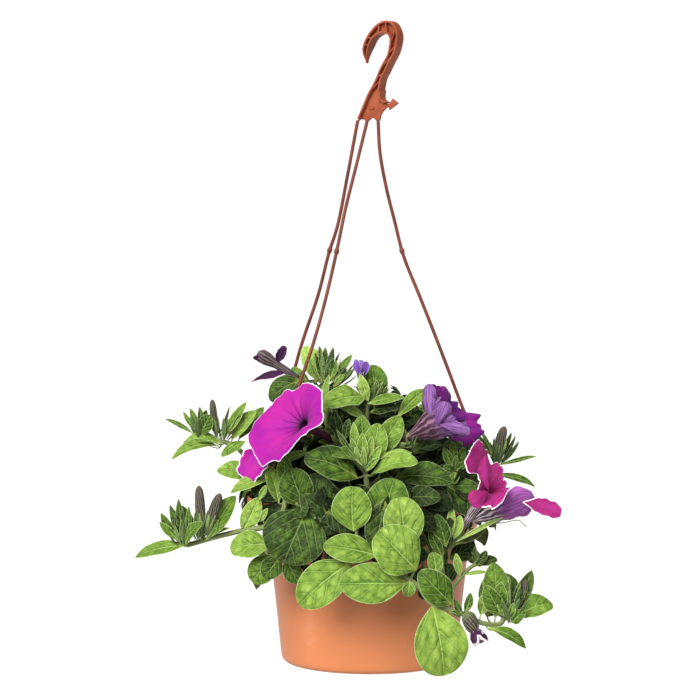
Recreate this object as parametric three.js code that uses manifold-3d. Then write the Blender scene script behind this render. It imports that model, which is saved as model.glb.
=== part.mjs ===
// A petunia in a terracotta-coloured hanging pot, with its one-piece plastic hanger.
// Millimetres, +Z up. The origin is the centre of the pot's base, and the front faces -Y.
// The plant is several leafy shoots that come out of one patch of soil and trail over the rim.

import * as THREE from "three";
import { mergeVertices } from "three/addons/utils/BufferGeometryUtils.js";
import Module from "manifold-3d";

const wasm = await Module();
wasm.setup();

// ---------------------------------------------------------------- driving dimensions

const CLEARANCE = 0.3; // between pieces that touch

const POT = {
  baseRadius: 75, // flat of the base
  cornerRadius: 84, // where the rounded bottom corner meets the wall
  cornerHeight: 15,
  neckRadius: 94.5, // top of the tapered wall, where the collar starts to flare
  neckHeight: 115,
  rimRadius: 115,
  lipBottom: 148,
  rimHeight: 157,
  wall: 2.2,
  floor: 2.6,
  drainHoles: 6,
  drainRadius: 4,
  drainCircle: 52,
};
const SOIL_TOP = 136; // soil level at the wall
const SOIL_CROWN = 140; // soil level in the middle

const HOOK = {
  yaw: -32, // degrees that the flat hook is turned about the vertical
  axisX: 2, // where the hook's own zero stands over the pot
  web: 4, // thickness of the flat web
  depth: 12, // depth of the raised edges
  edge: 2.2, // width of the raised edges
};
const STRAND_RADIUS = 1.6;
const CLIP = { width: 9, depth: 9, bottom: 148.5, top: 161.5 };
const BLADE = 1.2; // thickness of a leaf or petal along its middle

// ---------------------------------------------------------------- layout of the hanger

// Hook outline in its own plane, [across, height]: up the outside of the arm, over the top
// and down to the end of the thick edge; then up the inside of the bay from the tip.
const HOOK_OUTER = [
  [-4.7, 564], [-7.1, 573], [-5.9, 581], [-2.4, 588], [3.5, 595], [10.6, 600.5],
  [17.7, 602.5], [24.8, 601], [29.5, 595.5], [31.8, 588], [30.9, 580], [28.3, 572],
  [23.6, 564.5], [18.2, 555], [14.6, 549], [13, 543.5], [11.8, 536.5], [11.8, 529.5],
];
const HOOK_INNER = [
  [-4.7, 564], [-2.4, 572.5], [1.2, 580.5], [4.7, 586], [10.6, 589.8], [15.3, 590.8],
  [20, 589.5], [22.6, 586], [22.7, 581.5], [21.7, 576.5], [20, 570.5], [16.5, 565],
  [11.8, 557.5], [8, 549.5], [3.5, 542], [-1.2, 535], [-5, 527.5], [-9.4, 518.5], [-12.6, 512.5],
];
// Barb on the right edge, and the three necks at the foot with the arches between them.
const HOOK_LOWER = [
  [11.8, 529.5], [15.3, 526.5], [20, 525], [23.6, 530], [29.5, 525.5], [20, 519.5],
  [20, 522.5], [16.5, 521.5], [13, 518.5], [10.6, 515], [9.2, 510], [5.4, 510],
  [4.2, 511.6], [1.6, 512.4], [-1, 511.6], [-2.6, 510], [-6.4, 510],
  [-7.6, 511.4], [-10, 512.2], [-12.2, 511.4], [-13.4, 510], [-17.2, 510],
];

// Strand routes, from the neck under the hook down to the clip on the rim.
const STRANDS = {
  hanger_strand_back_left: [
    [-11, 8, 509.7], [-21, 9, 456], [-30, 13, 411], [-38, 16, 386], [-48, 20, 347],
    [-65, 28, 296], [-80, 37, 240], [-93, 48, 190], [-100.5, 53.5, 161],
  ],
  hanger_strand_front_left: [
    [-2, 2.6, 509.7], [-13, -3, 465], [-22, -9, 429], [-31, -15, 386], [-41, -22, 343],
    [-53, -30, 300], [-66, -38, 262], [-80, -47, 214], [-98.5, -57, 161],
  ],
  hanger_strand_right: [
    [8.2, -3.9, 509.7], [10, -3, 480], [16, -2, 447], [24, -1, 415], [32, 0, 384],
    [48, 0, 344], [63, 0, 306], [76, 0, 272], [87, 0, 243], [102, 0, 205], [114, 0, 161],
  ],
};

// ---------------------------------------------------------------- layout of the plant

// Each shoot has stems, [radius, route], and leaves, [name, base, tip, width, faces, arch, cup,
// lightness]: faces is the way the upper side looks, arch how far the midrib bows that way and
// cup how far the edges rise that way. Large leaves are pieces of their own.
const SHOOTS = {
  shoot_front: {
    stems: [
      [3, [[8, -45, 128], [8, -80, 152], [7, -108, 172], [6, -124, 160], [5, -128, 130],
        [4, -130, 120], [20, -133, 105], [35, -135, 96], [45, -137, 88], [54, -138, 76],
        [69, -136, 70], [83, -132, 65], [101, -128, 56], [117, -124, 55], [122, -122, 64]]],
      [2, [[6, -112, 172], [12, -122, 178], [12, -124, 148], [27, -129, 124], [29, -134, 107]]],
      [2, [[6, -124, 158], [-11, -128, 148], [-12, -128, 130]]],
    ],
    large: [
      ["front_round", [-15, -130, 139], [-16, -140, 180], 36, [-1, -9, 1], 2, 3, 0.8],
      ["front_low_left", [7, -131, 117], [-42, -136, 127], 27, [0, -9, 4], 3, 3, 0.6],
      ["front_left_large", [-16, -128, 112], [-64, -132, 73], 38, [-1, -9, 2], 4, 2, 0.75],
      ["front_bottom", [33, -136, 93], [-27, -142, 94], 37, [0, -9, 2], 4, 3, 0.6],
      ["front_centre", [41, -138, 105], [7, -150, 141], 45, [1, -9, 3], 5, 3, 0.7],
      ["front_upper_right", [32, -128, 123], [26, -138, 170], 38, [2, -9, 1], 3, 3, 0.8],
      ["front_upper_back", [14, -118, 136], [21, -126, 186], 41, [-2, -9, 2], 3, 4, 0.5],
      ["front_hanging", [55, -140, 74], [66, -138, 10], 49, [1, -9, 1], 5, 4, 0.85],
      ["front_dark_right", [73, -137, 74], [44, -152, 106], 28, [-3, -8, 5], 4, 4, 0.45],
    ],
    small: [
      ["front_small_round", [59, -128, 98], [56, -126, 120], 14, [1, -9, 1], 1, 2, 0.6],
      ["front_ball_leaf", [35, -140, 96], [33, -143, 82], 12, [0, -9, 1], 4, 4, 0.6],
      ["front_shadow_leaf", [43, -130, 92], [53, -124, 78], 13, [1, -9, 1], 1, 1, 0.1],
      ["front_node_right", [84, -133, 65], [90, -132, 84], 8, [1, -9, 1], 1, 2, 0.4],
      ["right_whorl_back", [105, -112, 59], [127, -106, 97], 36, [-2, -8, 3], 4, 3, 0.35],
      ["right_whorl_tall", [112, -122, 64], [111, -124, 110], 24, [0, -9, 1], 3, 4, 0.5],
      ["right_whorl_left", [119, -126, 62], [103, -134, 91], 18, [-3, -8, 1], 3, 4, 0.45],
      ["right_whorl_inner", [99, -122, 62], [103, -118, 80], 12, [1, -8, 2], 2, 3, 0.7],
      ["right_whorl_right", [127, -122, 59], [165, -112, 72], 24, [2, -6, 6], 4, 5, 0.6],
      ["right_whorl_low", [104, -128, 52], [141, -124, 33], 13, [1, -7, 6], 3, 3, 0.5],
      ["right_whorl_curl", [128, -128, 56], [138, -134, 68], 12, [0, -8, 4], 3, 4, 0.4],
    ],
  },
  shoot_right_lower: {
    stems: [
      [2.4, [[45, -42, 128], [62, -62, 152], [78, -84, 170], [82, -92, 158], [71, -96, 80],
        [81, -96, 91], [92, -94, 102], [99, -92, 105]]],
      [2, [[71, -96, 80], [65, -88, 96], [71, -83, 119]]],
    ],
    large: [],
    small: [
      ["right_bright_under", [80, -66, 169], [102, -72, 167], 14, [1, -7, 6], 2, 2, 0.8],
      ["right_shade_mid", [70, -70, 149], [92, -74, 142], 26, [0, -8, 5], 3, 2, 0.1],
      ["right_long_grey", [70, -86, 95], [59, -86, 136], 12, [2, -8, 1], 2, 2, 0.4],
      ["lower_right_dark", [73, -92, 86], [70, -92, 105], 16, [1, -9, 1], 2, 2, 0.1],
      ["lower_right_pale", [82, -97, 93], [78, -100, 115], 8, [-1, -9, 1], 1, 1, 0.8],
      ["lower_right_tip_b", [98, -94, 105], [106, -96, 117], 8, [1, -9, 1], 1, 2, 0.2],
      ["lower_right_tip_c", [100, -92, 103], [116, -90, 109], 10, [2, -7, 5], 2, 2, 0.2],
    ],
  },
  shoot_rosette: {
    stems: [
      [3.2, [[-6, -40, 128], [-8, -62, 150], [-9, -84, 168], [-3, -96, 172], [-4, -99, 187]]],
      [2, [[-8, -62, 150], [-18, -62, 172], [-28, -68, 196], [-27, -72, 212]]],
      [2, [[-9, -84, 168], [8, -84, 182], [14, -82, 196], [19, -78, 210]]],
    ],
    large: [
      ["right_dark_top", [22, -84, 182], [74, -104, 181], 29, [1, -7, 7], 6, 4, 0.3],
      ["veined_left", [-11, -106, 184], [-58, -122, 205], 32, [-1, -8, 5], 5, 4, 0.25],
      ["rosette_right", [0, -103, 186], [42, -128, 202], 23, [0, -6, 8], 5, 4, 0.85],
    ],
    small: [
      ["left_inner_slim", [-55, -84, 206], [-83, -96, 196], 9, [-1, -8, 5], 3, 2, 0.5],
      ["rosette_right_small", [2, -98, 198], [37, -112, 209], 10, [0, -5, 8], 3, 1, 0.75],
      ["rosette_left", [-4, -102, 189], [-34, -118, 208], 20, [0, -6, 8], 5, 6, 0.6],
      ["rosette_up_back", [-8, -84, 206], [-8, -78, 239], 17, [0, -9, 1], 2, 3, 0.5],
      ["rosette_up_mid", [-1, -94, 192], [8, -92, 233], 23, [1, -9, 2], 3, 4, 0.8],
      ["rosette_up_right", [6, -86, 202], [29, -82, 238], 21, [2, -9, 2], 3, 4, 0.8],
      ["rosette_up_narrow", [-12, -92, 197], [-15, -94, 234], 9, [-1, -9, 1], 2, 2, 0.7],
      ["rosette_heart_a", [-8, -98, 192], [-17, -104, 220], 9, [-2, -8, 3], 2, 3, 0.6],
      ["rosette_heart_b", [-6, -100, 192], [-7, -102, 225], 11, [0, -9, 3], 2, 4, 0.65],
      ["rosette_heart_c", [-5, -98, 192], [2, -102, 222], 9, [1, -9, 3], 2, 3, 0.7],
      ["rosette_heart_f", [-3, -102, 193], [10, -106, 214], 8, [2, -8, 4], 2, 2, 0.7],
      ["rosette_dark_up", [-26, -76, 212], [-33, -76, 243], 12, [-1, -9, 1], 2, 2, 0.1],
      ["rosette_dark_small", [-23, -78, 216], [-19, -80, 236], 8, [0, -9, 1], 1, 2, 0.35],
    ],
  },
  shoot_top_left: {
    stems: [
      [2.6, [[-22, -18, 128], [-30, -28, 170], [-38, -38, 210], [-39, -52, 229], [-40, -46, 251],
        [-39, -38, 269]]],
      [2, [[-36, -36, 200], [-46, -28, 226], [-52, -24, 258], [-49, -18, 269]]],
      [1.6, [[-49, -18, 267], [-60, -15, 266], [-67, -14, 270]]],
    ],
    large: [],
    small: [
      ["top_lime", [-45, -18, 264], [-61, -14, 299], 21, [1, -9, 2], 3, 3, 1],
      ["top_long", [-39, -38, 265], [-16, -26, 292], 8, [1, -7, 5], 2, 1, 0.5],
      ["top_pale_edge", [-40, -60, 224], [-38, -52, 275], 10, [-5, -6, 1], 3, 2, 0.7],
      ["top_tip_d", [-37, -40, 269], [-31, -38, 287], 8, [1, -9, 2], 1, 2, 0.5],
      ["top_left_olive", [-62, -20, 267], [-93, -30, 250], 24, [-1, -7, 5], 5, 3, 0.3],
      ["top_left_far", [-56, -14, 259], [-73, 0, 279], 12, [-2, -7, 5], 2, 2, 0.6],
    ],
  },
  shoot_top: {
    stems: [
      [2.6, [[2, -20, 128], [0, -32, 180], [-2, -44, 215], [-3, -54, 229], [-2, -52, 246],
        [0, -48, 254]]],
      [2.2, [[6, -22, 150], [22, -36, 190], [22, -56, 218], [25, -62, 233]]],
      [1.6, [[0, -50, 251], [-4, -49, 265], [-6, -50, 269]]],
    ],
    large: [
      ["top_veined", [-4, -54, 253], [-41, -78, 249], 27, [0, -7, 7], 6, 3, 0.7],
      ["top_round_hairy", [8, -46, 247], [2, -40, 283], 25, [1, -9, 2], 3, 3, 0.45],
    ],
    small: [
      ["top_green_sepal", [-1, -54, 249], [-9, -58, 275], 10, [-1, -9, 1], 2, 2, 0.85],
      ["top_dark_tipped", [-2, -60, 248], [31, -80, 256], 11, [0, -8, 5], 4, 1, 0.55],
      ["top_under_dark", [0, -56, 240], [26, -72, 246], 14, [0, -7, 6], 3, 1, 0.1],
      ["top_pale_long", [25, -68, 236], [54, -62, 263], 14, [-3, -8, 4], 2, 2, 0.85],
      ["top_mid_small", [-3, -60, 235], [-26, -72, 246], 9, [0, -8, 5], 2, 1, 0.7],
    ],
  },
  shoot_upper_left: {
    stems: [
      [2.8, [[-40, -18, 128], [-72, -30, 158], [-100, -44, 182], [-124, -52, 208],
        [-135, -55, 213]]],
      [1.6, [[-135, -55, 213], [-148, -56, 214], [-158, -56, 220]]],
    ],
    large: [],
    small: [
      ["upper_left_long", [-135, -55, 216], [-114, -58, 250], 10, [-1, -8, 4], 2, 2, 0.6],
      ["upper_left_mid", [-128, -52, 213], [-105, -54, 242], 14, [-1, -8, 4], 3, 2, 0.7],
      ["upper_left_back", [-122, -46, 213], [-98, -40, 244], 13, [-1, -8, 4], 2, 2, 0.5],
      ["upper_left_low", [-114, -60, 214], [-136, -76, 201], 12, [-1, -7, 6], 3, 1, 0.55],
      ["upper_left_fold", [-135, -56, 210], [-172, -60, 213], 14, [0, -6, 7], 4, 5, 0.65],
      ["upper_left_droop", [-137, -58, 208], [-182, -72, 199], 14, [0, -6, 8], 8, 3, 0.6],
      ["upper_left_round", [-156, -58, 220], [-147, -62, 238], 15, [0, -9, 2], 2, 3, 0.4],
    ],
  },
  shoot_lower_left: {
    stems: [
      [3, [[-45, -45, 128], [-68, -70, 158], [-84, -88, 172], [-92, -92, 160], [-93, -92, 144],
        [-119, -88, 134], [-145, -84, 127], [-167, -80, 120]]],
      [2, [[-68, -70, 158], [-84, -70, 176], [-99, -72, 180]]],
    ],
    large: [
      ["left_oval", [-101, -72, 179], [-140, -72, 189], 20, [0, -8, 6], 4, 3, 0.7],
      ["lower_left_big", [-149, -84, 125], [-123, -84, 166], 20, [-1, -8, 3], 4, 7, 0.55],
    ],
    small: [
      ["left_inner_grey", [-75, -92, 177], [-78, -98, 203], 15, [-1, -9, 2], 2, 2, 0.5],
      ["left_pale_edge", [-83, -92, 159], [-93, -92, 195], 15, [2, -8, 1], 2, 3, 0.65],
      ["left_pale_bent", [-91, -84, 180], [-127, -94, 170], 13, [0, -7, 6], 5, 1, 0.7],
      ["lower_left_tip", [-165, -80, 120], [-215, -82, 110], 15, [0, -7, 6], 3, 2, 0.8],
      ["lower_left_front", [-168, -84, 120], [-152, -100, 144], 14, [-4, -7, 5], 4, 2, 0.5],
      ["lower_left_pale", [-117, -88, 132], [-101, -92, 165], 18, [1, -8, 3], 3, 2, 0.8],
      ["lower_left_cup", [-167, -76, 123], [-174, -74, 156], 18, [1, -9, 2], 4, 6, 0.35],
    ],
  },
  shoot_left: {
    stems: [
      [2.8, [[-38, -38, 128], [-58, -66, 150], [-72, -88, 166], [-71, -104, 164], [-58, -108, 157],
        [-45, -113, 145]]],
      [2.4, [[-68, -82, 162], [-75, -95, 174], [-84, -104, 168], [-85, -106, 155],
        [-89, -100, 127], [-82, -100, 112]]],
    ],
    large: [
      ["left_round_dark", [-59, -104, 159], [-72, -110, 193], 32, [-2, -9, 2], 4, 4, 0.3],
      ["left_big_dark", [-57, -104, 156], [-78, -122, 110], 59, [-1, -9, 2], 6, 4, 0.1],
      ["left_bumpy_dark", [-33, -108, 135], [-54, -108, 188], 38, [-2, -9, 1], 5, 3, 0.1],
      ["left_low_bright", [-89, -100, 123], [-127, -100, 120], 27, [0, -8, 5], 4, 3, 0.9],
      ["left_low_hang", [-85, -98, 114], [-108, -96, 89], 25, [-1, -9, 1], 3, 2, 0.55],
    ],
    small: [
      ["left_big_light", [-56, -101, 156], [-37, -112, 131], 20, [4, -8, 1], 3, 2, 0.65],
      ["left_low_inner", [-82, -98, 112], [-96, -104, 94], 20, [0, -9, 2], 2, 2, 0.35],
      ["left_low_grey", [-76, -98, 110], [-65, -106, 89], 18, [0, -9, 1], 2, 2, 0.4],
    ],
  },
  shoot_right_upper: {
    stems: [
      [2.6, [[35, -18, 128], [56, -30, 158], [66, -44, 180], [65, -62, 177], [76, -62, 187]]],
      [2.2, [[40, -34, 130], [56, -60, 158], [60, -74, 160], [52, -80, 131], [65, -76, 116]]],
    ],
    large: [
      ["right_ribbed", [63, -64, 178], [103, -84, 148], 34, [1, -8, 4], 4, 4, 0.2],
    ],
    small: [
      ["right_mid_dark", [53, -82, 133], [49, -84, 164], 15, [0, -9, 1], 2, 2, 0.2],
      ["right_small_dark", [66, -78, 118], [60, -80, 147], 14, [0, -9, 1], 2, 2, 0.25],
      ["right_shade_low", [73, -72, 106], [97, -66, 120], 20, [1, -8, 3], 2, 2, 0.15],
      ["right_whorl_a", [76, -64, 189], [68, -66, 208], 9, [-1, -8, 3], 2, 3, 0.5],
      ["right_whorl_b", [78, -63, 190], [76, -64, 214], 8, [0, -9, 1], 2, 2, 0.5],
      ["right_whorl_c", [80, -62, 189], [87, -62, 209], 8, [1, -8, 2], 2, 2, 0.5],
      ["right_whorl_d", [79, -66, 187], [89, -72, 195], 8, [1, -8, 4], 2, 2, 0.4],
      ["right_whorl_e", [76, -66, 186], [67, -72, 191], 8, [-1, -8, 4], 2, 2, 0.4],
      ["right_whorl_f", [78, -68, 186], [77, -76, 176], 9, [0, -8, 5], 2, 2, 0.6],
    ],
  },
  shoot_right_bud: {
    stems: [
      [2.2, [[48, -8, 128], [80, -18, 162], [104, -28, 180], [110, -30, 172], [120, -28, 188]]],
      [1.6, [[102, -27, 179], [110, -35, 171], [113.5, -40.5, 158], [111.5, -41.5, 143],
        [111, -41, 137]]],
    ],
    large: [],
    small: [
      ["bud_leaf_low", [115, -30, 180], [155, -34, 170], 9, [0, -7, 7], 3, 1, 0.4],
      ["bud_round_dark", [111, -40, 136], [126, -44, 147], 13, [1, -8, 4], 2, 3, 0.3],
    ],
  },
};

// Shoots on the far side follow one pattern, [azimuth in degrees, reach, drop, leaves].
const FAR_SHOOTS = [
  [36, 134, 74, 8],
  [60, 142, 96, 9],
  [86, 136, 70, 8],
  [112, 144, 92, 9],
  [138, 134, 66, 8],
];

// Flowers: calyx [base, length of the sepals], tube [base, throat], and the rim of the limb as
// points in order round the mouth. Petals are leaf rows that fold away from the limb.
const FLOWERS = {
  flower_magenta: {
    calyx: [[-29, -71, 213], 15],
    tube: [[-33, -75, 216], [-60, -98, 232]],
    throatRadius: 7,
    rim: [
      [-70, -80, 262], [-64, -82, 268], [-57, -88, 270], [-49, -100, 268], [-43, -113, 263],
      [-44, -124, 252], [-42, -136, 244], [-43, -144, 236], [-56, -138, 229], [-63, -136, 223],
      [-70, -137, 214], [-80, -136, 203], [-88, -127, 202], [-98, -120, 196], [-105, -100, 205],
      [-111, -75, 221], [-103, -68, 235], [-96, -66, 243], [-90, -66, 249], [-77, -70, 262],
    ],
    petals: [["fold", [-60, -90, 222], [-114, -90, 182], 27, [-3, -8, 2], 3, 3, 1]],
    color: 0xd42bb8,
  },
  flower_purple: {
    calyx: [[19, -77, 209], 12],
    tube: [[24, -78, 213], [62, -86, 239]],
    throatRadius: 12,
    rim: [
      [53, -86, 266], [58, -76, 266], [65, -70, 264], [72, -64, 260], [79, -60, 252],
      [86, -60, 244], [93, -62, 234], [100, -67, 228], [105, -74, 222], [97, -84, 218],
      [92, -94, 212], [84, -104, 210], [78, -112, 216], [83, -116, 222], [85, -119, 229],
      [79, -121, 237], [73, -119, 244], [67, -114, 248], [63, -107, 255], [58, -98, 261],
    ],
    petals: [],
    color: 0x8a2bb0,
  },
  flower_pink: {
    calyx: [[72, -82, 118], 24],
    tube: [[75, -82, 124], [107, -92, 171]],
    throatRadius: 11,
    rim: [
      [98, -90, 216], [91, -96, 213], [87, -103, 203], [85, -107, 197], [91, -109, 190],
      [95, -112, 182], [93, -115, 174], [91, -117, 167], [97, -119, 159], [107, -119, 155],
      [118, -117, 156], [124, -110, 163], [129, -101, 170], [129, -91, 178], [127, -84, 186],
      [123, -78, 193], [116, -78, 201], [107, -82, 209],
    ],
    petals: [["right", [112, -92, 166], [174, -88, 148], 26, [1, -7, 6], 9, -5, 1]],
    color: 0xcf3a92,
  },
};

// Half-open and withered flowers: a tube, [base, tip, radius], and its petals.
const HALF_FLOWERS = {
  flower_lavender_small: {
    tube: [[-6, -50, 264], [-8, -52, 275], 3.4],
    petals: [
      ["a", [-8, -52, 272], [-13, -53, 289], 7, [-3, -8, 1], 1, 2, 0.8],
      ["b", [-8, -52, 272], [-3, -53, 287], 8, [3, -8, 1], 1, 2, 0.8],
      ["c", [-8, -51, 272], [-8, -46, 288], 8, [0, 8, 1], 1, 2, 0.8],
    ],
    color: 0x9a74c8,
  },
  flower_withered: {
    tube: [[-66.5, -14, 269], [-86, -12, 281], 3.6],
    petals: [
      ["tube_end", [-82, -12, 278], [-103, -7, 292], 13, [-1, -8, 2], 3, 2, 0.4],
      ["dark", [-74, -16, 271], [-109, -22, 263], 13, [-1, -7, 5], 4, -3, 0.1],
      ["purple", [-82, -12, 278], [-84, -6, 297], 10, [1, -9, 1], 2, 2, 0.6],
    ],
    color: 0x5b4a68,
  },
};

// Closed buds, [shoot that carries it, base, middle, tip, radius].
const BUDS = {
  bud_lower_left_tall: ["shoot_lower_left", [-153, -84, 127], [-155, -85, 155], [-156, -84, 175], 4.6],
  bud_lower_left_purple: ["shoot_lower_left", [-149, -88, 131], [-143, -92, 152], [-136, -95, 169], 4.8],
  bud_upper_left: ["shoot_upper_left", [-141, -56, 218], [-144, -57, 236], [-145, -58, 252], 3.4],
  bud_right_brown: ["shoot_right_bud", [118, -30, 193], [121, -32, 210], [126, -33, 225], 4.8],
  bud_right_whorl: ["shoot_front", [132, -118, 64], [139, -116, 80], [140, -114, 93], 4.2],
  bud_hanging: ["shoot_front", [86, -132, 67], [91, -138, 52], [98, -136, 35], 7.6],
};

// ---------------------------------------------------------------- small vector helpers

const vec = (p) => new THREE.Vector3(...p);
const mix = (a, b, t) => a.clone().lerp(b, t);

// ---------------------------------------------------------------- solids

const MERGE = 1e-3; // vertices nearer than this are one
const SLIVER = 0.05; // detail smaller than this is dropped from a cut piece

function solidFromArrays(points, triangles) {
  let volume = 0;
  for (const [a, b, c] of triangles) {
    volume += points[a].dot(new THREE.Vector3().crossVectors(points[b], points[c]));
  }
  const faces = volume < 0 ? triangles.map(([a, b, c]) => [a, c, b]) : triangles;
  const mesh = new wasm.Mesh({
    numProp: 3,
    vertProperties: new Float32Array(points.flatMap((p) => [p.x, p.y, p.z])),
    triVerts: new Uint32Array(faces.flat()),
  });
  return new wasm.Manifold(mesh);
}

function solidFromGeometry(geometry) {
  const bare = geometry.clone();
  bare.deleteAttribute("normal");
  bare.deleteAttribute("uv");
  const merged = mergeVertices(bare, MERGE);
  const position = merged.attributes.position;
  const points = [];
  for (let i = 0; i < position.count; i++) {
    points.push(new THREE.Vector3().fromBufferAttribute(position, i));
  }
  const index = Array.from(merged.index.array);
  const triangles = [];
  for (let i = 0; i < index.length; i += 3) {
    const [a, b, c] = index.slice(i, i + 3);
    if (a !== b && b !== c && a !== c) triangles.push([a, b, c]);
  }
  return solidFromArrays(points, triangles);
}

function geometryFromSolid(solid) {
  const mesh = solid.getMesh();
  const positions = new Float32Array(mesh.numVert * 3);
  for (let i = 0; i < mesh.numVert; i++) {
    for (let k = 0; k < 3; k++) {
      positions[3 * i + k] = mesh.vertProperties[mesh.numProp * i + k];
    }
  }
  const geometry = new THREE.BufferGeometry();
  geometry.setAttribute("position", new THREE.BufferAttribute(positions, 3));
  geometry.setIndex(new THREE.BufferAttribute(mesh.triVerts, 1));
  return geometry;
}

const unionOf = (solids) => solids.reduce((whole, solid) => whole.add(solid));

function largestPiece(solid) {
  const pieces = solid.decompose();
  return pieces.reduce((best, piece) => (piece.volume() > best.volume() ? piece : best));
}

// A tube along a route of points, with flat ends.
function tube(route, radius, sides, stepsPerSpan) {
  const points = route.map(vec);
  const path =
    points.length === 2
      ? new THREE.LineCurve3(points[0], points[1])
      : new THREE.CatmullRomCurve3(points, false, "centripetal");
  const section = new THREE.Shape();
  for (let i = 0; i < sides; i++) {
    const angle = (2 * Math.PI * i) / sides;
    const [x, y] = [radius * Math.cos(angle), radius * Math.sin(angle)];
    if (i === 0) section.moveTo(x, y);
    else section.lineTo(x, y);
  }
  section.closePath();
  const steps = points.length === 2 ? 1 : stepsPerSpan * (points.length - 1);
  const settings = { steps, curveSegments: 1, bevelEnabled: false, extrudePath: path };
  return solidFromGeometry(new THREE.ExtrudeGeometry(section, settings));
}

// ---------------------------------------------------------------- leaves and petals

const STATIONS_LARGE = 5;
const STATIONS_SMALL = 2;
const BROADEST = 1.15; // above 1 the blade is broadest beyond its middle
const STALK_SHORT = 5; // a shorter stalk has no section of its own where the blade begins
const STALK_BEND = 0.35; // nor has one that bends more than this cosine allows

function bladeSide(along, bluntness) {
  return Math.sin(Math.PI * along ** BROADEST) ** bluntness;
}

// A blade with sharp edges: a row of cross-sections between its base and its tip. With a
// stalk it starts further back, at a point on the stem.
function blade([, base, tip, width, faces, arch, cup], large, grow, stalkFrom = null) {
  const [from, to] = [vec(base), vec(tip)];
  const length = from.distanceTo(to);
  const bluntness = THREE.MathUtils.clamp(1.1 - (0.75 * width) / length, 0.45, 0.95);
  const run = to.clone().sub(from).normalize();
  const up = vec(faces).normalize();
  up.addScaledVector(run, -up.dot(run)).normalize();
  const side = new THREE.Vector3().crossVectors(run, up);
  const half = BLADE / 2 + grow;
  const columns = large ? [-0.5, 0, 0.5] : [0];
  const rows = [];
  const stalk = stalkFrom ? from.clone().sub(stalkFrom) : new THREE.Vector3();
  if (stalk.length() > STALK_SHORT && stalk.normalize().dot(run) > STALK_BEND) {
    const thick = 0.7 + width / 50;
    rows.push({ middle: from, reach: thick + grow, rise: 0, lift: thick + grow });
  }
  const stations = large ? STATIONS_LARGE : STATIONS_SMALL;
  for (let i = 1; i <= stations; i++) {
    const along = i / (stations + 1);
    rows.push({
      middle: mix(from, to, along).addScaledVector(up, arch * 4 * along * (1 - along)),
      reach: (width / 2) * bladeSide(along, bluntness) + grow,
      rise: cup * Math.sin(Math.PI * along),
      lift: half,
    });
  }
  const start = stalkFrom ?? from.clone().addScaledVector(run, -grow);
  const points = [start, to.clone().addScaledVector(run, grow)];
  const rings = rows.map(({ middle, reach, rise, lift }) => {
    const at = (across, raise) => {
      const point = middle.clone().addScaledVector(side, across * reach);
      points.push(point.addScaledVector(up, rise * across * across + raise));
      return points.length - 1;
    };
    const [left, right] = [at(-1, 0), at(1, 0)];
    const upper = [left, ...columns.map((c) => at(c, lift)), right];
    const lower = [left, ...columns.map((c) => at(c, -lift)), right];
    return { upper, lower };
  });
  const triangles = [];
  const fan = (apex, ring, flip) => {
    for (let j = 0; j + 1 < ring.length; j++) {
      triangles.push(flip ? [apex, ring[j + 1], ring[j]] : [apex, ring[j], ring[j + 1]]);
    }
  };
  const last = rings[rings.length - 1];
  fan(0, rings[0].upper, true);
  fan(0, rings[0].lower, false);
  fan(1, last.upper, false);
  fan(1, last.lower, true);
  for (let i = 0; i + 1 < rings.length; i++) {
    for (const [key, flip] of [["upper", false], ["lower", true]]) {
      const [near, far] = [rings[i][key], rings[i + 1][key]];
      for (let j = 0; j + 1 < near.length; j++) {
        const quad = [[near[j], far[j + 1], near[j + 1]], [near[j], far[j], far[j + 1]]];
        for (const [a, b, c] of quad) triangles.push(flip ? [a, b, c] : [a, c, b]);
      }
    }
  }
  return solidFromArrays(points, triangles);
}

function nearestOnStems(point, stems) {
  let best = null;
  for (const [, route] of stems) {
    for (let i = 0; i + 1 < route.length; i++) {
      const line = new THREE.Line3(vec(route[i]), vec(route[i + 1]));
      const found = line.closestPointToPoint(point, true, new THREE.Vector3());
      if (!best || found.distanceTo(point) < best.distanceTo(point)) best = found;
    }
  }
  return best;
}

// A leaf is a blade whose stalk starts in the middle of the nearest stem.
function leaf(row, stems, large, grow = 0) {
  const start = nearestOnStems(vec(row[1]), stems);
  const apart = start.distanceTo(vec(row[1])) > 1;
  return blade(row, large, grow, apart ? start : null);
}

// ---------------------------------------------------------------- flowers and buds

const TUBE_RADIUS = 3.2; // of a flower's tube where it leaves the calyx
const LIMB_BULGE = 5; // how far the limb is bowed towards the mouth, halfway out
const LIMB_THICKNESS = 1;

// A trumpet: up the outside from the closed foot to the rim, and down inside the mouth.
function trumpet({ tube: [base, throat], throatRadius, rim }, grow = 0) {
  const [from, mouth] = [vec(base), vec(throat)];
  const axis = mouth.clone().sub(from).normalize();
  const spokes = rim.map((point) => {
    const out = vec(point).sub(mouth);
    return out.addScaledVector(axis, -out.dot(axis)).normalize();
  });
  const ring = (centre, radius) => spokes.map((s) => centre.clone().addScaledVector(s, radius));
  const limb = (share, lift) =>
    rim.map((point, i) => {
      const inner = mouth.clone().addScaledVector(spokes[i], throatRadius);
      const bulge = LIMB_BULGE * 4 * share * (1 - share) + lift;
      return mix(inner, vec(point), share).addScaledVector(axis, bulge);
    });
  const thick = LIMB_THICKNESS;
  const loops = [
    ring(from.clone().addScaledVector(axis, -grow), TUBE_RADIUS + grow),
    ring(mix(from, mouth, 0.5), TUBE_RADIUS * 1.25 + grow),
    ring(mouth.clone().addScaledVector(axis, -thick - grow), throatRadius + grow),
    limb(0.5, -thick - grow),
    rim.map((p, i) => vec(p).addScaledVector(spokes[i], grow)),
    limb(0.5, grow),
    ring(mouth.clone().addScaledVector(axis, grow), throatRadius - 1),
    ring(mix(from, mouth, 0.62), TUBE_RADIUS * 0.7),
  ];
  return lofted(loops);
}

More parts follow.
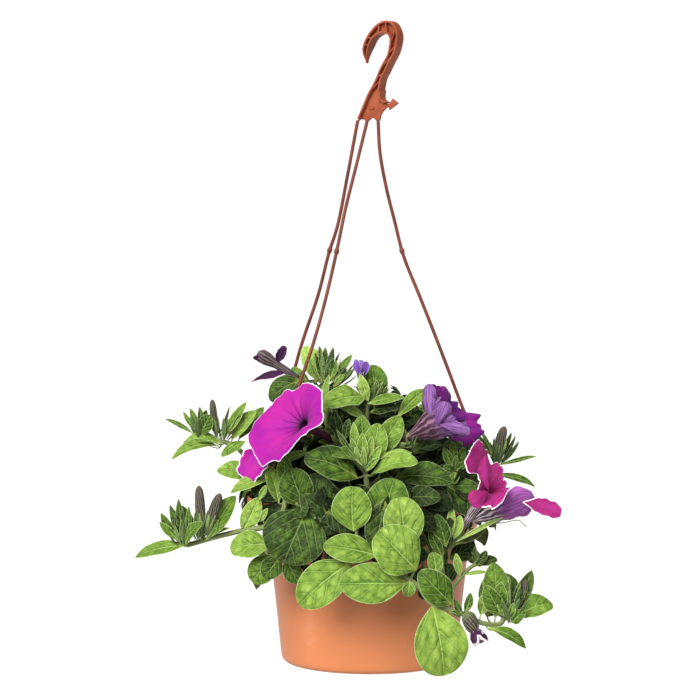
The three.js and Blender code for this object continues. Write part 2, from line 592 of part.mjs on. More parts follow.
// Closes a row of loops, all with the same number of points, into a solid.
function lofted(loops) {
  const count = loops[0].length;
  const centreOf = (loop) =>
    loop.reduce((sum, p) => sum.add(p), new THREE.Vector3()).divideScalar(count);
  const points = [...loops.flat(), centreOf(loops[0]), centreOf(loops[loops.length - 1])];
  const [foot, head] = [points.length - 2, points.length - 1];
  const last = (loops.length - 1) * count;
  const triangles = [];
  for (let i = 0; i < count; i++) {
    const next = (i + 1) % count;
    triangles.push([foot, next, i], [head, last + i, last + next]);
    for (let k = 0; k + 1 < loops.length; k++) {
      const [a, b] = [k * count + i, k * count + next];
      triangles.push([a, b, b + count], [a, b + count, a + count]);
    }
  }
  return solidFromArrays(points, triangles);
}

function acrossFrame(axis) {
  const hint = Math.abs(axis.z) > 0.9 ? new THREE.Vector3(0, 1, 0) : new THREE.Vector3(0, 0, 1);
  const first = new THREE.Vector3().crossVectors(axis, hint).normalize();
  return [first, new THREE.Vector3().crossVectors(axis, first)];
}

// Rings of the given [share of the way, radius] round a bent line from base to tip.
function spindle(base, middle, tip, profile, sides) {
  const path = new THREE.QuadraticBezierCurve3(vec(base), vec(middle), vec(tip));
  const loops = profile.map(([share, radius]) => {
    const [first, second] = acrossFrame(path.getTangent(share));
    const centre = path.getPoint(share);
    return Array.from({ length: sides }, (_, i) => {
      const angle = (2 * Math.PI * i) / sides;
      return centre
        .clone()
        .addScaledVector(first, radius * Math.cos(angle))
        .addScaledVector(second, radius * Math.sin(angle));
    });
  });
  return lofted(loops);
}

const CALYX_CUP = 5; // height of the closed cup below the sepals

function calyx(base, towards, sepalLength, grow = 0) {
  const foot = vec(base);
  const axis = vec(towards).sub(foot).normalize();
  const [first, second] = acrossFrame(axis);
  const along = (distance) => foot.clone().addScaledVector(axis, distance);
  const cup = spindle(
    along(-1 - grow).toArray(),
    along(CALYX_CUP / 2).toArray(),
    along(CALYX_CUP + grow).toArray(),
    [[0, 1.8 + grow], [0.5, 3 + grow], [1, 4 + grow]],
    8,
  );
  const sepals = Array.from({ length: 5 }, (_, i) => {
    const angle = (2 * Math.PI * i) / 5;
    const out = first.clone().multiplyScalar(Math.cos(angle));
    out.addScaledVector(second, Math.sin(angle));
    const start = along(1).addScaledVector(out, 1.2);
    const end = along(CALYX_CUP + sepalLength).addScaledVector(out, 5 + sepalLength * 0.42);
    const row = ["", start.toArray(), end.toArray(), 5.5, out.toArray(), 1, 1];
    return blade(row, false, grow);
  });
  return unionOf([cup, ...sepals]);
}

const BUD_PROFILE = [[0, 0.4], [0.2, 0.75], [0.55, 1], [0.85, 0.8], [1, 0.3]];

function bud([, base, middle, tip, radius], stems, grow = 0) {
  const profile = BUD_PROFILE.map(([share, part]) => [share, part * radius + grow]);
  const start = nearestOnStems(vec(base), stems);
  const stalk = tube([start.toArray(), mix(vec(base), vec(middle), 0.3).toArray()], 1.5 + grow, 5, 1);
  return spindle(base, middle, tip, profile, 8).add(stalk);
}

function halfFlower({ tube: [base, tip, radius], petals }, grow = 0) {
  const middle = mix(vec(base), vec(tip), 0.5).toArray();
  const profile = [[0, 0.6], [0.5, 0.9], [1, 1]].map(([s, part]) => [s, part * radius + grow]);
  const body = spindle(base, middle, tip, profile, 7);
  return unionOf([body, ...petals.map((row) => blade(row, false, grow))]);
}

// ---------------------------------------------------------------- shoots of the far side

const GOLDEN_ANGLE = 2.39996;

// A stem that leaves the soil at an azimuth, crosses the rim and trails, with leaves turned
// to alternate sides; the leaves near the soil stand up and the outer ones hang.
function farShoot(azimuth, reach, drop, count) {
  const angle = THREE.MathUtils.degToRad(azimuth);
  const out = new THREE.Vector3(Math.cos(angle), Math.sin(angle), 0);
  const aside = new THREE.Vector3(-out.y, out.x, 0);
  const at = (r, z, s = 0) => out.clone().multiplyScalar(r).addScaledVector(aside, s).setZ(z);
  const route = [
    at(26, 130), at(58, 158), at(92, 178, 4), at(120, 172, 6),
    at(reach - 4, 148, 4), at(reach, 122), at(reach + 4, drop, -5),
  ];
  const crown = [at(58, 158), at(62, 190, -6), at(66, 222, -10)];
  const stems = [[2.8, route.map((p) => p.toArray())], [2, crown.map((p) => p.toArray())]];
  const trail = new THREE.CatmullRomCurve3(route);
  const small = [];
  for (let i = 0; i < count; i++) {
    const share = 0.3 + (0.7 * i) / (count - 1);
    const base = trail.getPoint(share);
    const turn = i % 2 ? 1 : -1;
    const size = 46 - 16 * share + 6 * Math.sin(GOLDEN_ANGLE * i + azimuth);
    const tip = base
      .clone()
      .addScaledVector(aside, turn * size * (0.8 - 0.3 * share))
      .addScaledVector(out, size * (0.5 - 0.3 * share))
      .add(new THREE.Vector3(0, 0, size * (0.35 - 0.75 * share)));
    tip.z = Math.max(tip.z, 8);
    const faces = out.clone().multiplyScalar(8).add(new THREE.Vector3(0, 0, 7 - 6 * share));
    small.push(["far", base.toArray(), tip.toArray(), size * 0.7, faces.toArray(), 4, 3, 0.6]);
  }
  const top = vec(stems[1][1][2]);
  for (let i = 0; i < 4; i++) {
    const turn = GOLDEN_ANGLE * i + angle;
    const size = 34 - 2 * i;
    const low = 6 * i - 18;
    const base = top.clone().add(new THREE.Vector3(0, 0, low));
    const tip = base.clone().add(
      new THREE.Vector3(Math.cos(turn) * size * 0.7, Math.sin(turn) * size * 0.7, 9 + 3 * i),
    );
    const faces = [-Math.cos(turn) * 3, -Math.sin(turn) * 3, 8];
    small.push(["crown", base.toArray(), tip.toArray(), size * 0.55, faces, 4, 3, 0.7]);
  }
  return { stems, large: [], small };
}

// ---------------------------------------------------------------- pot and soil

const RADIAL_STEPS = 32;

function potSolid(grow = 0) {
  const { baseRadius, cornerRadius, cornerHeight, neckRadius, neckHeight } = POT;
  const { rimRadius, lipBottom, rimHeight, wall, floor } = POT;
  const outside = [
    [0, -grow], [baseRadius + grow, -grow], [80 + grow, 1.6], [82.6 + grow, 5.5],
    [cornerRadius + grow, cornerHeight], [neckRadius + grow, neckHeight],
    [97 + grow, neckHeight + 5], [109 + grow, lipBottom - 5], [112.6 + grow, lipBottom - 1.6],
    [rimRadius + grow, lipBottom], [rimRadius + grow, rimHeight + grow],
  ];
  const inside = [
    [rimRadius - wall - 0.2 - grow, rimHeight + grow], [rimRadius - wall - 0.2 - grow, lipBottom + 1],
    [107 - grow, lipBottom - 3], [95 - grow, neckHeight + 5.6], [neckRadius - wall - grow, neckHeight],
    [cornerRadius - wall - grow, cornerHeight], [80 - grow, 6.5], [baseRadius - grow, floor + 0.4 + grow],
    [0, floor + grow],
  ];
  const profile = [...outside, ...inside].map(([r, z]) => new THREE.Vector2(r, z));
  const turned = new THREE.LatheGeometry(profile, RADIAL_STEPS);
  turned.rotateX(Math.PI / 2);
  return solidFromGeometry(turned);
}

function drilledPot() {
  const drills = Array.from({ length: POT.drainHoles }, (_, i) => {
    const angle = (2 * Math.PI * i) / POT.drainHoles;
    const drill = new THREE.CylinderGeometry(POT.drainRadius, POT.drainRadius, 4 * POT.floor, 12);
    drill.rotateX(Math.PI / 2);
    drill.translate(POT.drainCircle * Math.cos(angle), POT.drainCircle * Math.sin(angle), 0);
    return solidFromGeometry(drill);
  });
  return potSolid().subtract(unionOf(drills));
}

// The soil fills the pot up to a little under the collar's middle.
function soilSolid() {
  const gap = CLEARANCE + POT.wall;
  const profile = [
    [0, POT.floor + CLEARANCE], [baseInside(), POT.floor + CLEARANCE + 0.4], [79.4, 6.9],
    [POT.cornerRadius - gap, POT.cornerHeight], [POT.neckRadius - gap, POT.neckHeight],
    [94.4, POT.neckHeight + 5.6], [100.6, SOIL_TOP], [60, SOIL_CROWN - 1], [0, SOIL_CROWN],
  ].map(([r, z]) => new THREE.Vector2(r, z));
  const turned = new THREE.LatheGeometry(profile, RADIAL_STEPS);
  turned.rotateX(Math.PI / 2);
  return solidFromGeometry(turned);
}

function baseInside() {
  return POT.baseRadius - CLEARANCE;
}

// ---------------------------------------------------------------- hanger

// A flat plate with the given outline in the hook's own plane, centred on that plane.
function plate(outline, thickness) {
  const shape = new THREE.Shape(outline.map(([s, z]) => new THREE.Vector2(s, z)));
  const settings = { depth: thickness, curveSegments: 1, bevelEnabled: false };
  const geometry = new THREE.ExtrudeGeometry(shape, settings);
  geometry.translate(0, 0, -thickness / 2);
  geometry.rotateX(Math.PI / 2);
  geometry.rotateZ(THREE.MathUtils.degToRad(HOOK.yaw));
  geometry.translate(HOOK.axisX, 0, 0);
  return solidFromGeometry(geometry);
}

// A raised strip of the given width on one side of a line.
function strip(line, width) {
  const points = line.map(([s, z]) => new THREE.Vector2(s, z));
  const shifted = points.map((point, i) => {
    const before = points[Math.max(i - 1, 0)];
    const after = points[Math.min(i + 1, points.length - 1)];
    const run = after.clone().sub(before).normalize();
    return [point.x + run.y * width, point.y - run.x * width];
  });
  return [...line, ...shifted.reverse()];
}

function hookSolid() {
  const foot = HOOK_LOWER.slice(1);
  const outline = [...HOOK_OUTER, ...foot, ...[...HOOK_INNER].reverse().slice(0, -1)];
  const pieces = [plate(outline, HOOK.web)];
  pieces.push(plate(strip(HOOK_OUTER, HOOK.edge), HOOK.depth));
  pieces.push(plate(strip([...HOOK_INNER].reverse(), HOOK.edge), HOOK.depth));
  // Zigzag ribs in the channel, from the outer edge to the inner one and back.
  const outer = [3, 5, 7, 9, 11, 13, 15].map((i) => HOOK_OUTER[i]);
  const inner = [3, 4, 6, 7, 9, 11, 13].map((i) => HOOK_INNER[i]);
  outer.forEach((a, i) => {
    const rib = (b) => {
      const run = new THREE.Vector2(b[0] - a[0], b[1] - a[1]).normalize();
      const inset = 0.8;
      const from = [a[0] + run.x * inset, a[1] + run.y * inset];
      const to = [b[0] - run.x * inset, b[1] - run.y * inset];
      pieces.push(plate(strip([from, to], 1.2), HOOK.depth - 2));
    };
    rib(inner[i]);
  });
  return unionOf(pieces);
}

// The clip at the foot of a strand sits astride the lip of the rim.
function clipSolid([x, y]) {
  const box = new THREE.BoxGeometry(CLIP.depth, CLIP.width, CLIP.top - CLIP.bottom);
  box.rotateZ(Math.atan2(y, x));
  box.translate(x, y, (CLIP.top + CLIP.bottom) / 2);
  return solidFromGeometry(box);
}

function strandSolid(route, grow = 0) {
  const foot = route[route.length - 1];
  return tube(route, STRAND_RADIUS + grow, 8, 2).add(clipSolid(foot));
}

// ---------------------------------------------------------------- assembly

const material = (color, roughness) =>
  new THREE.MeshStandardMaterial({ color, roughness, metalness: 0 });
const terracotta = material(0xd88c5c, 0.5);
const hangerPlastic = material(0xb5603f, 0.45);
const soilMaterial = material(0x2c2018, 1);
const leafGreen = material(0x7fae4a, 0.7);
const budBrown = material(0x6d6150, 0.7);

const basket = new THREE.Group();
const kept = []; // the space that each finished piece takes, with its clearance

function overlapping(a, b) {
  return [0, 1, 2].every((k) => a.min[k] <= b.max[k] && b.min[k] <= a.max[k]);
}

function clearOf(solid, own = null) {
  let left = solid;
  for (const { space, owner } of kept) {
    const mine = own !== null && owner === own;
    if (!mine && overlapping(space.boundingBox(), left.boundingBox())) {
      left = left.subtract(space);
    }
  }
  return left;
}

function keep(space, owner = null) {
  kept.push({ space, owner });
}

// What is left of a cut piece, without slivers too thin for the mesh's 32-bit numbers.
function tidied(solid) {
  const main = largestPiece(solid).asOriginal().simplify(SLIVER);
  return largestPiece(solidFromGeometry(geometryFromSolid(main)));
}

function addMesh(name, solid, surface) {
  const mesh = new THREE.Mesh(geometryFromSolid(tidied(solid)), surface);
  mesh.name = name;
  basket.add(mesh);
}

// Adds a piece that build(grow) shapes, cut clear of the earlier ones, and keeps its space.
function place(name, build, surface) {
  addMesh(name, clearOf(build(0)), surface);
  keep(build(CLEARANCE).add(build(0)));
}

addMesh("pot", drilledPot(), terracotta);
keep(potSolid(CLEARANCE));

const hook = hookSolid();
addMesh("hanger_hook", hook, hangerPlastic);
keep(hook);

for (const [name, route] of Object.entries(STRANDS)) {
  place(name, (grow) => strandSolid(route, grow), hangerPlastic);
}

const shoots = { ...SHOOTS };
FAR_SHOOTS.forEach((numbers, i) => {
  shoots[`shoot_far_${i + 1}`] = farShoot(...numbers);
});

// Stems first, because everything else gives way to them.
const grown = {};
for (const [name, { stems }] of Object.entries(shoots)) {
  const build = (grow) => unionOf(stems.map(([r, route]) => tube(route, r + grow, 5, 1)));
  grown[name] = largestPiece(clearOf(build(0)));
  keep(build(CLEARANCE), name);
}
addMesh("potting_soil", clearOf(soilSolid()), soilMaterial);
keep(soilSolid());

for (const [name, flower] of Object.entries(FLOWERS)) {
  const { calyx: [base, sepals], tube: [, throat], petals, color } = flower;
  const corolla = (grow) =>
    unionOf([trumpet(flower, grow), ...petals.map((row) => blade(row, true, grow))]);
  place(`${name}_calyx`, (grow) => calyx(base, throat, sepals, grow), leafGreen);
  place(name, corolla, material(color, 0.6));
}
for (const [name, flower] of Object.entries(HALF_FLOWERS)) {
  place(name, (grow) => halfFlower(flower, grow), material(flower.color, 0.6));
}
for (const [name, row] of Object.entries(BUDS)) {
  place(name, (grow) => bud(row, shoots[row[0]].stems, grow), budBrown);
}
for (const { stems, large } of Object.values(shoots)) {
  for (const row of large) {
    place(`leaf_${row[0]}`, (grow) => leaf(row, stems, true, grow), leafGreen);
  }
}
for (const [name, { stems, small }] of Object.entries(shoots)) {
  const leaves = (grow) => small.map((row) => leaf(row, stems, false, grow));
  const cut = leaves(0).map((solid) => clearOf(solid, name));
  addMesh(name, unionOf([grown[name], ...cut]), leafGreen);
  keep(unionOf([grown[name], ...leaves(0), ...leaves(CLEARANCE)]), name);
}

export default basket;
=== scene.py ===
"""Looks of the petunia hanging basket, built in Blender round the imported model.

Lengths in the tables are millimetres in the model's own frame; meshes are scaled to metres as
they are made. Every piece stands for the CAD node of the same name and rides on the one body.
"""

import math
import random

import bmesh
import bpy
import numpy as np
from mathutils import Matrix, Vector, noise


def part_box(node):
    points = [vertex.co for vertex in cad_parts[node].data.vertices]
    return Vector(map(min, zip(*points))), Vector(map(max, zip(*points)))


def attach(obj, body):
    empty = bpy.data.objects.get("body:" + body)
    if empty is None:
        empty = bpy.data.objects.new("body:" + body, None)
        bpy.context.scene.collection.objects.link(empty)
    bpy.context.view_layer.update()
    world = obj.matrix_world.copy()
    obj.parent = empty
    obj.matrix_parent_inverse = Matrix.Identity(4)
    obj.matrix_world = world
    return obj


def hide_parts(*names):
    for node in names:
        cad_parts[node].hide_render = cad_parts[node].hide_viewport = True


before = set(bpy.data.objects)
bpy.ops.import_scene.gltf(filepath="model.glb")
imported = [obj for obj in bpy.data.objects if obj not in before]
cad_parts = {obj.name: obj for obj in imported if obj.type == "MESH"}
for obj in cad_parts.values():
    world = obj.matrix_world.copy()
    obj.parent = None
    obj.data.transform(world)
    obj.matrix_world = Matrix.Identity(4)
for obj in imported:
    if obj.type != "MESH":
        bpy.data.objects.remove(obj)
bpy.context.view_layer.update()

MM = 0.001
BODY = "root"


# ---------------------------------------------------------------- dimensions

RIM_RADIUS, _, RIM_HEIGHT = np.array(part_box("pot")[1]) / MM
RIM_THICKNESS = 2.2
# Outside of the pot from the centre of its base to the top of its rim, [radius, height].
POT_OUTSIDE = [
    [0, 1.2], [34, 1.2], [36, 0.2], [73, 0], [77, 0.4], [80, 1.6], [82, 3.6], [83.1, 7],
    [84, 15], [86.6, 40], [89.2, 65], [91.9, 90], [94.3, 113], [95, 116.5], [96.8, 119.5],
    [99.6, 124], [104.4, 134], [108.6, 142.6], [110.4, 145.4], [113, 147.4], [114.6, 148.6],
    [RIM_RADIUS, 150.2], [RIM_RADIUS, 155.4], [114.5, 156.6], [113.9, RIM_HEIGHT],
]
# Inside, from the rim down to the centre of the floor.
POT_INSIDE = [
    [113.2, 156.7], [112.8, 155.8], [112.5, 151], [111.4, 149.2], [107.4, 145.6],
    [101, 133], [95.4, 121], [92.6, 116.4], [91.9, 111], [89.6, 90], [84.4, 40], [81.8, 15],
    [80.6, 8.6], [78.6, 4.8], [74, 3.2], [36, 2.9], [0, 2.9],
]
DRAINS = {"count": 6, "radius": 4, "circle": 52}

HOOK = {"yaw": math.radians(-32), "axis_x": 2, "web": 2.8, "depth": 12, "edge": 2.2}
# Hook outline in its own plane, [across, height], as in the CAD model.
HOOK_OUTER = [
    [-4.7, 564], [-7.1, 573], [-5.9, 581], [-2.4, 588], [3.5, 595], [10.6, 600.5],
    [17.7, 602.5], [24.8, 601], [29.5, 595.5], [31.8, 588], [30.9, 580], [28.3, 572],
    [23.6, 564.5], [18.2, 555], [14.6, 549], [13, 543.5], [11.8, 536.5], [11.8, 529.5],
]
HOOK_INNER = [
    [-4.7, 564], [-2.4, 572.5], [1.2, 580.5], [4.7, 586], [10.6, 589.8], [15.3, 590.8],
    [20, 589.5], [22.6, 586], [22.7, 581.5], [21.7, 576.5], [20, 570.5], [16.5, 565],
    [11.8, 557.5], [8, 549.5], [3.5, 542], [-1.2, 535], [-5, 527.5], [-9.4, 518.5], [-12.6, 512.5],
]
HOOK_BARB = [
    [15.3, 526.5], [20, 525], [23.6, 530], [29.5, 525.5], [20, 519.5], [20, 522.5], [16.5, 521.5],
    [13, 518.5], [10.6, 515], [9.2, 510],
]
# The two arches between the three necks, and the far corner of the last neck.
HOOK_ARCHES = [
    [5.4, 510], [4.2, 511.6], [1.6, 512.4], [-1, 511.6], [-2.6, 510], [-6.4, 510],
    [-7.6, 511.4], [-10, 512.2], [-12.2, 511.4], [-13.4, 510],
]
HOOK_CORNER = [-17.2, 510]

# Strand routes, from the neck under the hook down to the clip on the rim, as in the CAD model.
STRANDS = {
    "hanger_strand_back_left": [
        [-11, 8, 509.7], [-21, 9, 456], [-30, 13, 411], [-38, 16, 386], [-48, 20, 347],
        [-65, 28, 296], [-80, 37, 240], [-93, 48, 190], [-100.5, 53.5, 161],
    ],
    "hanger_strand_front_left": [
        [-2, 2.6, 509.7], [-13, -3, 465], [-22, -9, 429], [-31, -15, 386], [-41, -22, 343],
        [-53, -30, 300], [-66, -38, 262], [-80, -47, 214], [-98.5, -57, 161],
    ],
    "hanger_strand_right": [
        [8.2, -3.9, 509.7], [10, -3, 480], [16, -2, 447], [24, -1, 415], [32, 0, 384],
        [48, 0, 344], [63, 0, 306], [76, 0, 272], [87, 0, 243], [102, 0, 205], [114, 0, 161],
    ],
}
STRAND_RADIUS = 1.6
NUB_HEIGHT = 388  # height of the small nub on each strand
NUB_SWELL = [0.9, 1, 1.15, 1.35, 1.5, 1.55, 1.5, 1.35, 1.15, 1, 0.9]
CLIP = {"width": 9, "depth": 9, "bottom": 148.5, "inner_bottom": 150.6, "top": 161.5}
CLIP_GAP = 0.3  # between the clip and the rim


# ---------------------------------------------------------------- layout of the plant

# Each shoot has stems, [radius, route], and leaves, [name, base, tip, width, faces, arch, cup,
# lightness], as in the CAD model: faces is the way the upper side looks, arch how far the midrib
# bows that way and cup how far the edges rise that way. Lightness is partly the leaf's own green
# and partly painted shade: leaves that lie in shadow get low values, down to near black.
# Large leaves are pieces of their own.
SHOOTS = {
    "shoot_front": {
        "stems": [
            [3, [[8, -45, 128], [8, -80, 152], [7, -108, 172], [6, -124, 160], [5, -128, 130],
                [4, -130, 120], [20, -133, 105], [35, -135, 96], [45, -137, 88], [54, -138, 76],
                [69, -136, 70], [83, -132, 65], [101, -128, 56], [117, -124, 55], [122, -122, 64]]],
            [2, [[6, -112, 172], [12, -122, 178], [12, -124, 148], [27, -129, 124], [29, -134, 107]]],
            [2, [[6, -124, 158], [-11, -128, 148], [-12, -128, 130]]],
        ],
        "large": [
            ["front_round", [-15, -130, 139], [-16, -140, 180], 36, [-1, -9, 1], 2, 3, 0.65],
            ["front_low_left", [7, -131, 117], [-42, -136, 127], 27, [0, -9, 4], 3, 3, 0.64],
            ["front_left_large", [-16, -128, 112], [-64, -132, 73], 38, [-1, -9, 2], 4, 2, 0.68],
            ["front_bottom", [33, -136, 93], [-27, -142, 94], 37, [0, -9, 2], 4, 3, 0.66],
            ["front_centre", [41, -138, 105], [7, -150, 141], 45, [1, -9, 3], 5, 3, 0.7],
            ["front_upper_right", [32, -128, 123], [26, -138, 170], 38, [2, -9, 1], 3, 3, 0.8],
            ["front_upper_back", [14, -118, 136], [21, -126, 186], 41, [-2, -9, 2], 3, 4, 0.5],
            ["front_hanging", [55, -140, 74], [66, -138, 10], 49, [1, -9, 1], 5, 4, 0.74],
            ["front_dark_right", [73, -137, 74], [44, -152, 106], 28, [-3, -8, 5], 4, 4, 0.45],
        ],
        "small": [
            ["front_dark_middle", [12, -128, 168], [3, -135, 124], 26, [0, -9, 1], 3, 3, 0.22],
            ["front_small_round", [59, -128, 98], [56, -126, 120], 14, [1, -9, 1], 1, 2, 0.6],
            ["front_ball_leaf", [35, -140, 96], [33, -143, 82], 12, [0, -9, 1], 4, 4, 0.6],
            ["front_shadow_leaf", [43, -130, 92], [53, -124, 78], 13, [1, -9, 1], 1, 1, 0.1],
            ["front_node_small", [69, -137, 69], [81, -138, 63], 5, [0, -9, 4], 1, 1, 0.3],
            ["front_node_left", [82, -134, 65], [75, -138, 79], 7, [-2, -9, 1], 1, 2, 0.3],
            ["front_node_right", [84, -133, 65], [90, -132, 84], 8, [1, -9, 1], 1, 2, 0.4],
            ["right_whorl_back", [105, -112, 59], [127, -106, 97], 36, [-2, -8, 3], 4, 3, 0.35],
            ["right_whorl_tall", [112, -122, 64], [111, -124, 110], 24, [0, -9, 1], 3, 4, 0.5],
            ["right_whorl_left", [119, -126, 62], [103, -134, 91], 18, [-3, -8, 1], 3, 4, 0.45],
            ["right_whorl_inner", [99, -122, 62], [103, -118, 80], 12, [1, -8, 2], 2, 3, 0.7],
            ["right_whorl_right", [127, -122, 59], [165, -112, 72], 24, [2, -6, 6], 4, 5, 0.6],
            ["right_whorl_low", [104, -128, 52], [141, -124, 33], 13, [1, -7, 6], 3, 3, 0.5],
            ["right_whorl_mid", [112, -126, 60], [117, -132, 93], 16, [0, -9, 1], 2, 3, 0.5],
            ["right_whorl_far", [125, -116, 62], [147, -108, 101], 15, [2, -8, 2], 3, 3, 0.3],
            ["right_whorl_curl", [128, -128, 56], [138, -134, 68], 12, [0, -8, 4], 3, 4, 0.4],
            ["right_whorl_bud_a", [122, -126, 62], [119, -128, 83], 5, [0, -9, 1], 1, 1, 0.6],
            ["right_whorl_bud_b", [123, -128, 62], [124, -130, 89], 6, [0, -9, 1], 1, 1, 0.6],
            ["right_whorl_bud_c", [124, -124, 62], [125, -122, 98], 5, [1, -9, 1], 1, 1, 0.5],
            ["right_whorl_bud_d", [128, -124, 64], [135, -120, 93], 6, [1, -9, 1], 1, 1, 0.3],
            ["right_whorl_bud_e", [131, -122, 64], [142, -118, 88], 5, [2, -9, 1], 1, 1, 0.2],
            ["right_whorl_bud_f", [120, -130, 62], [114, -134, 77], 6, [-1, -9, 1], 1, 1, 0.6],
            ["right_whorl_bud_g", [125, -131, 60], [128, -134, 75], 7, [0, -9, 1], 1, 2, 0.6],
        ],
    },
    "shoot_right_lower": {
        "stems": [
            [2.4, [[45, -42, 128], [60, -62, 154], [70, -84, 168], [73, -95, 158], [67, -102, 136],
                [65, -100, 108], [71, -96, 80],
                [81, -96, 91], [92, -94, 102], [99, -92, 105]]],
            [2, [[71, -96, 80], [65, -88, 96], [71, -83, 119]]],
        ],
        "large": [],
        "small": [
            ["right_bright_under", [80, -66, 169], [102, -72, 167], 14, [1, -7, 6], 2, 2, 0.8],
            ["right_shade_mid", [70, -70, 149], [92, -74, 142], 26, [0, -8, 5], 3, 2, 0.1],
            ["right_long_grey", [70, -86, 95], [59, -86, 136], 12, [2, -8, 1], 2, 2, 0.4],
            ["right_dull_oval", [69, -103, 121], [60, -108, 152], 15, [-1, -9, 1], 2, 3, 0.35],
            ["right_dull_low", [66, -102, 111], [53, -107, 137], 10, [-1, -9, 1], 2, 2, 0.4],
            ["right_black_upper", [76, -96, 160], [50, -104, 142], 30, [0, -9, 2], 3, 2, 0.0],
            ["right_black_lower", [66, -100, 113], [57, -102, 146], 24, [0, -9, 2], 3, 2, 0.0],
            ["lower_right_stalk", [82, -96, 94], [109, -98, 98], 6, [0, -5, 8], 1, 1, 0.7],
            ["lower_right_dark", [73, -92, 86], [70, -92, 105], 16, [1, -9, 1], 2, 2, 0.1],
            ["lower_right_pale", [82, -97, 93], [78, -100, 115], 8, [-1, -9, 1], 1, 1, 0.8],
            ["lower_right_tip_a", [95, -92, 103], [96, -92, 122], 4, [0, -9, 1], 1, 1, 0.1],
            ["lower_right_tip_b", [98, -94, 105], [106, -96, 117], 8, [1, -9, 1], 1, 2, 0.2],
            ["lower_right_tip_c", [100, -92, 103], [116, -90, 109], 10, [2, -7, 5], 2, 2, 0.2],
            ["lower_right_tip_d", [97, -96, 103], [102, -100, 110], 7, [0, -9, 2], 1, 1, 0.2],
        ],
    },
    "shoot_rosette": {
        "stems": [
            [3.2, [[-6, -40, 128], [-8, -62, 150], [-9, -84, 168], [-3, -96, 172], [-4, -99, 187]]],
            [2, [[-8, -62, 150], [-18, -62, 172], [-28, -68, 196], [-27, -72, 212]]],
            [2, [[-9, -84, 168], [8, -84, 182], [14, -82, 196], [19, -78, 210]]],
        ],
        "large": [
            ["right_dark_top", [22, -84, 182], [74, -104, 181], 29, [1, -7, 7], 6, 4, 0.3],
            ["veined_left", [-11, -106, 184], [-58, -122, 205], 32, [-1, -8, 5], 5, 4, 0.36],
            ["rosette_right", [0, -103, 186], [42, -128, 201], 26, [0, -6, 8], 5, 4, 0.72],
        ],
        "small": [
            ["left_inner_slim", [-55, -84, 206], [-83, -96, 196], 9, [-1, -8, 5], 3, 2, 0.5],
            ["rosette_right_small", [2, -98, 198], [37, -112, 209], 10, [0, -5, 8], 3, 1, 0.72],
            ["rosette_left", [-4, -102, 189], [-34, -118, 208], 20, [0, -6, 8], 5, 6, 0.45],
            ["rosette_up_back", [-8, -84, 206], [-8, -78, 239], 17, [0, -9, 1], 2, 3, 0.5],
            ["rosette_up_mid", [-1, -94, 192], [8, -92, 233], 23, [1, -9, 2], 3, 4, 0.64],
            ["rosette_up_right", [6, -86, 202], [28, -84, 239], 22, [2, -9, 2], 3, 4, 0.64],
            ["rosette_up_narrow", [-12, -92, 197], [-15, -94, 234], 9, [-1, -9, 1], 2, 2, 0.7],
            ["rosette_heart_a", [-8, -98, 192], [-17, -104, 220], 9, [-2, -8, 3], 2, 3, 0.6],
            ["rosette_heart_b", [-6, -100, 192], [-7, -102, 225], 11, [0, -9, 3], 2, 4, 0.65],
            ["rosette_heart_c", [-5, -98, 192], [2, -102, 222], 9, [1, -9, 3], 2, 3, 0.7],
            ["rosette_heart_d", [-7, -103, 191], [-14, -110, 213], 6, [-1, -8, 3], 2, 2, 0.7],
            ["rosette_heart_e", [-5, -103, 191], [-6, -110, 213], 6, [0, -8, 4], 2, 2, 0.7],
            ["rosette_heart_f", [-3, -102, 193], [10, -106, 214], 8, [2, -8, 4], 2, 2, 0.7],
            ["rosette_front_small", [-5, -105, 190], [8, -112, 204], 6, [2, -8, 5], 1, 2, 0.6],
            ["rosette_dark_up", [-26, -76, 212], [-33, -76, 243], 12, [-1, -9, 1], 2, 2, 0.1],
            ["rosette_dark_small", [-23, -78, 216], [-19, -80, 236], 8, [0, -9, 1], 1, 2, 0.35],
            ["rosette_sepal_a", [-6, -114, 195], [-31, -104, 229], 5, [-2, -9, 2], 1, 2, 0.3],
            ["rosette_sepal_b", [-16, -96, 198], [-26, -90, 224], 3, [-1, -9, 2], 1, 1, 0.3],
        ],
    },
    "shoot_top_left": {
        "stems": [
            [2.6, [[-22, -18, 128], [-30, -28, 170], [-38, -38, 210], [-39, -52, 229], [-40, -46, 251],
                [-39, -38, 269]]],
            [2, [[-36, -36, 200], [-46, -28, 226], [-52, -24, 258], [-49, -18, 269]]],
            [1.6, [[-49, -18, 267], [-60, -15, 266], [-67, -14, 270]]],
        ],
        "large": [],
        "small": [
            ["top_lime", [-45, -18, 264], [-61, -14, 299], 21, [1, -9, 2], 3, 3, 1],
            ["top_long", [-39, -38, 265], [-16, -26, 292], 8, [1, -7, 5], 2, 1, 0.5],
            ["top_pale_edge", [-40, -60, 224], [-38, -52, 275], 10, [-5, -6, 1], 3, 2, 0.7],
            ["top_tip_a", [-43, -28, 270], [-47, -24, 300], 6, [0, -9, 1], 1, 1, 0.3],
            ["top_tip_b", [-42, -30, 270], [-41, -28, 299], 7, [0, -9, 1], 1, 1, 0.3],
            ["top_tip_c", [-42, -32, 270], [-34, -30, 296], 5, [1, -9, 1], 1, 1, 0.2],
            ["top_tip_d", [-37, -40, 269], [-31, -38, 287], 8, [1, -9, 2], 1, 2, 0.5],
            ["top_bud_leaf_a", [-36, -42, 265], [-22, -36, 282], 4, [1, -7, 5], 1, 1, 0.2],
            ["top_bud_leaf_b", [-35, -44, 263], [-15, -40, 279], 5, [1, -7, 5], 1, 1, 0.3],
            ["top_bud_leaf_c", [-34, -46, 262], [-23, -44, 275], 6, [1, -7, 5], 1, 1, 0.5],
            ["top_left_olive", [-62, -20, 267], [-93, -30, 250], 24, [-1, -7, 5], 5, 3, 0.3],
            ["top_left_narrow", [-54, -20, 262], [-66, -8, 276], 6, [-2, -8, 3], 1, 1, 0.4],
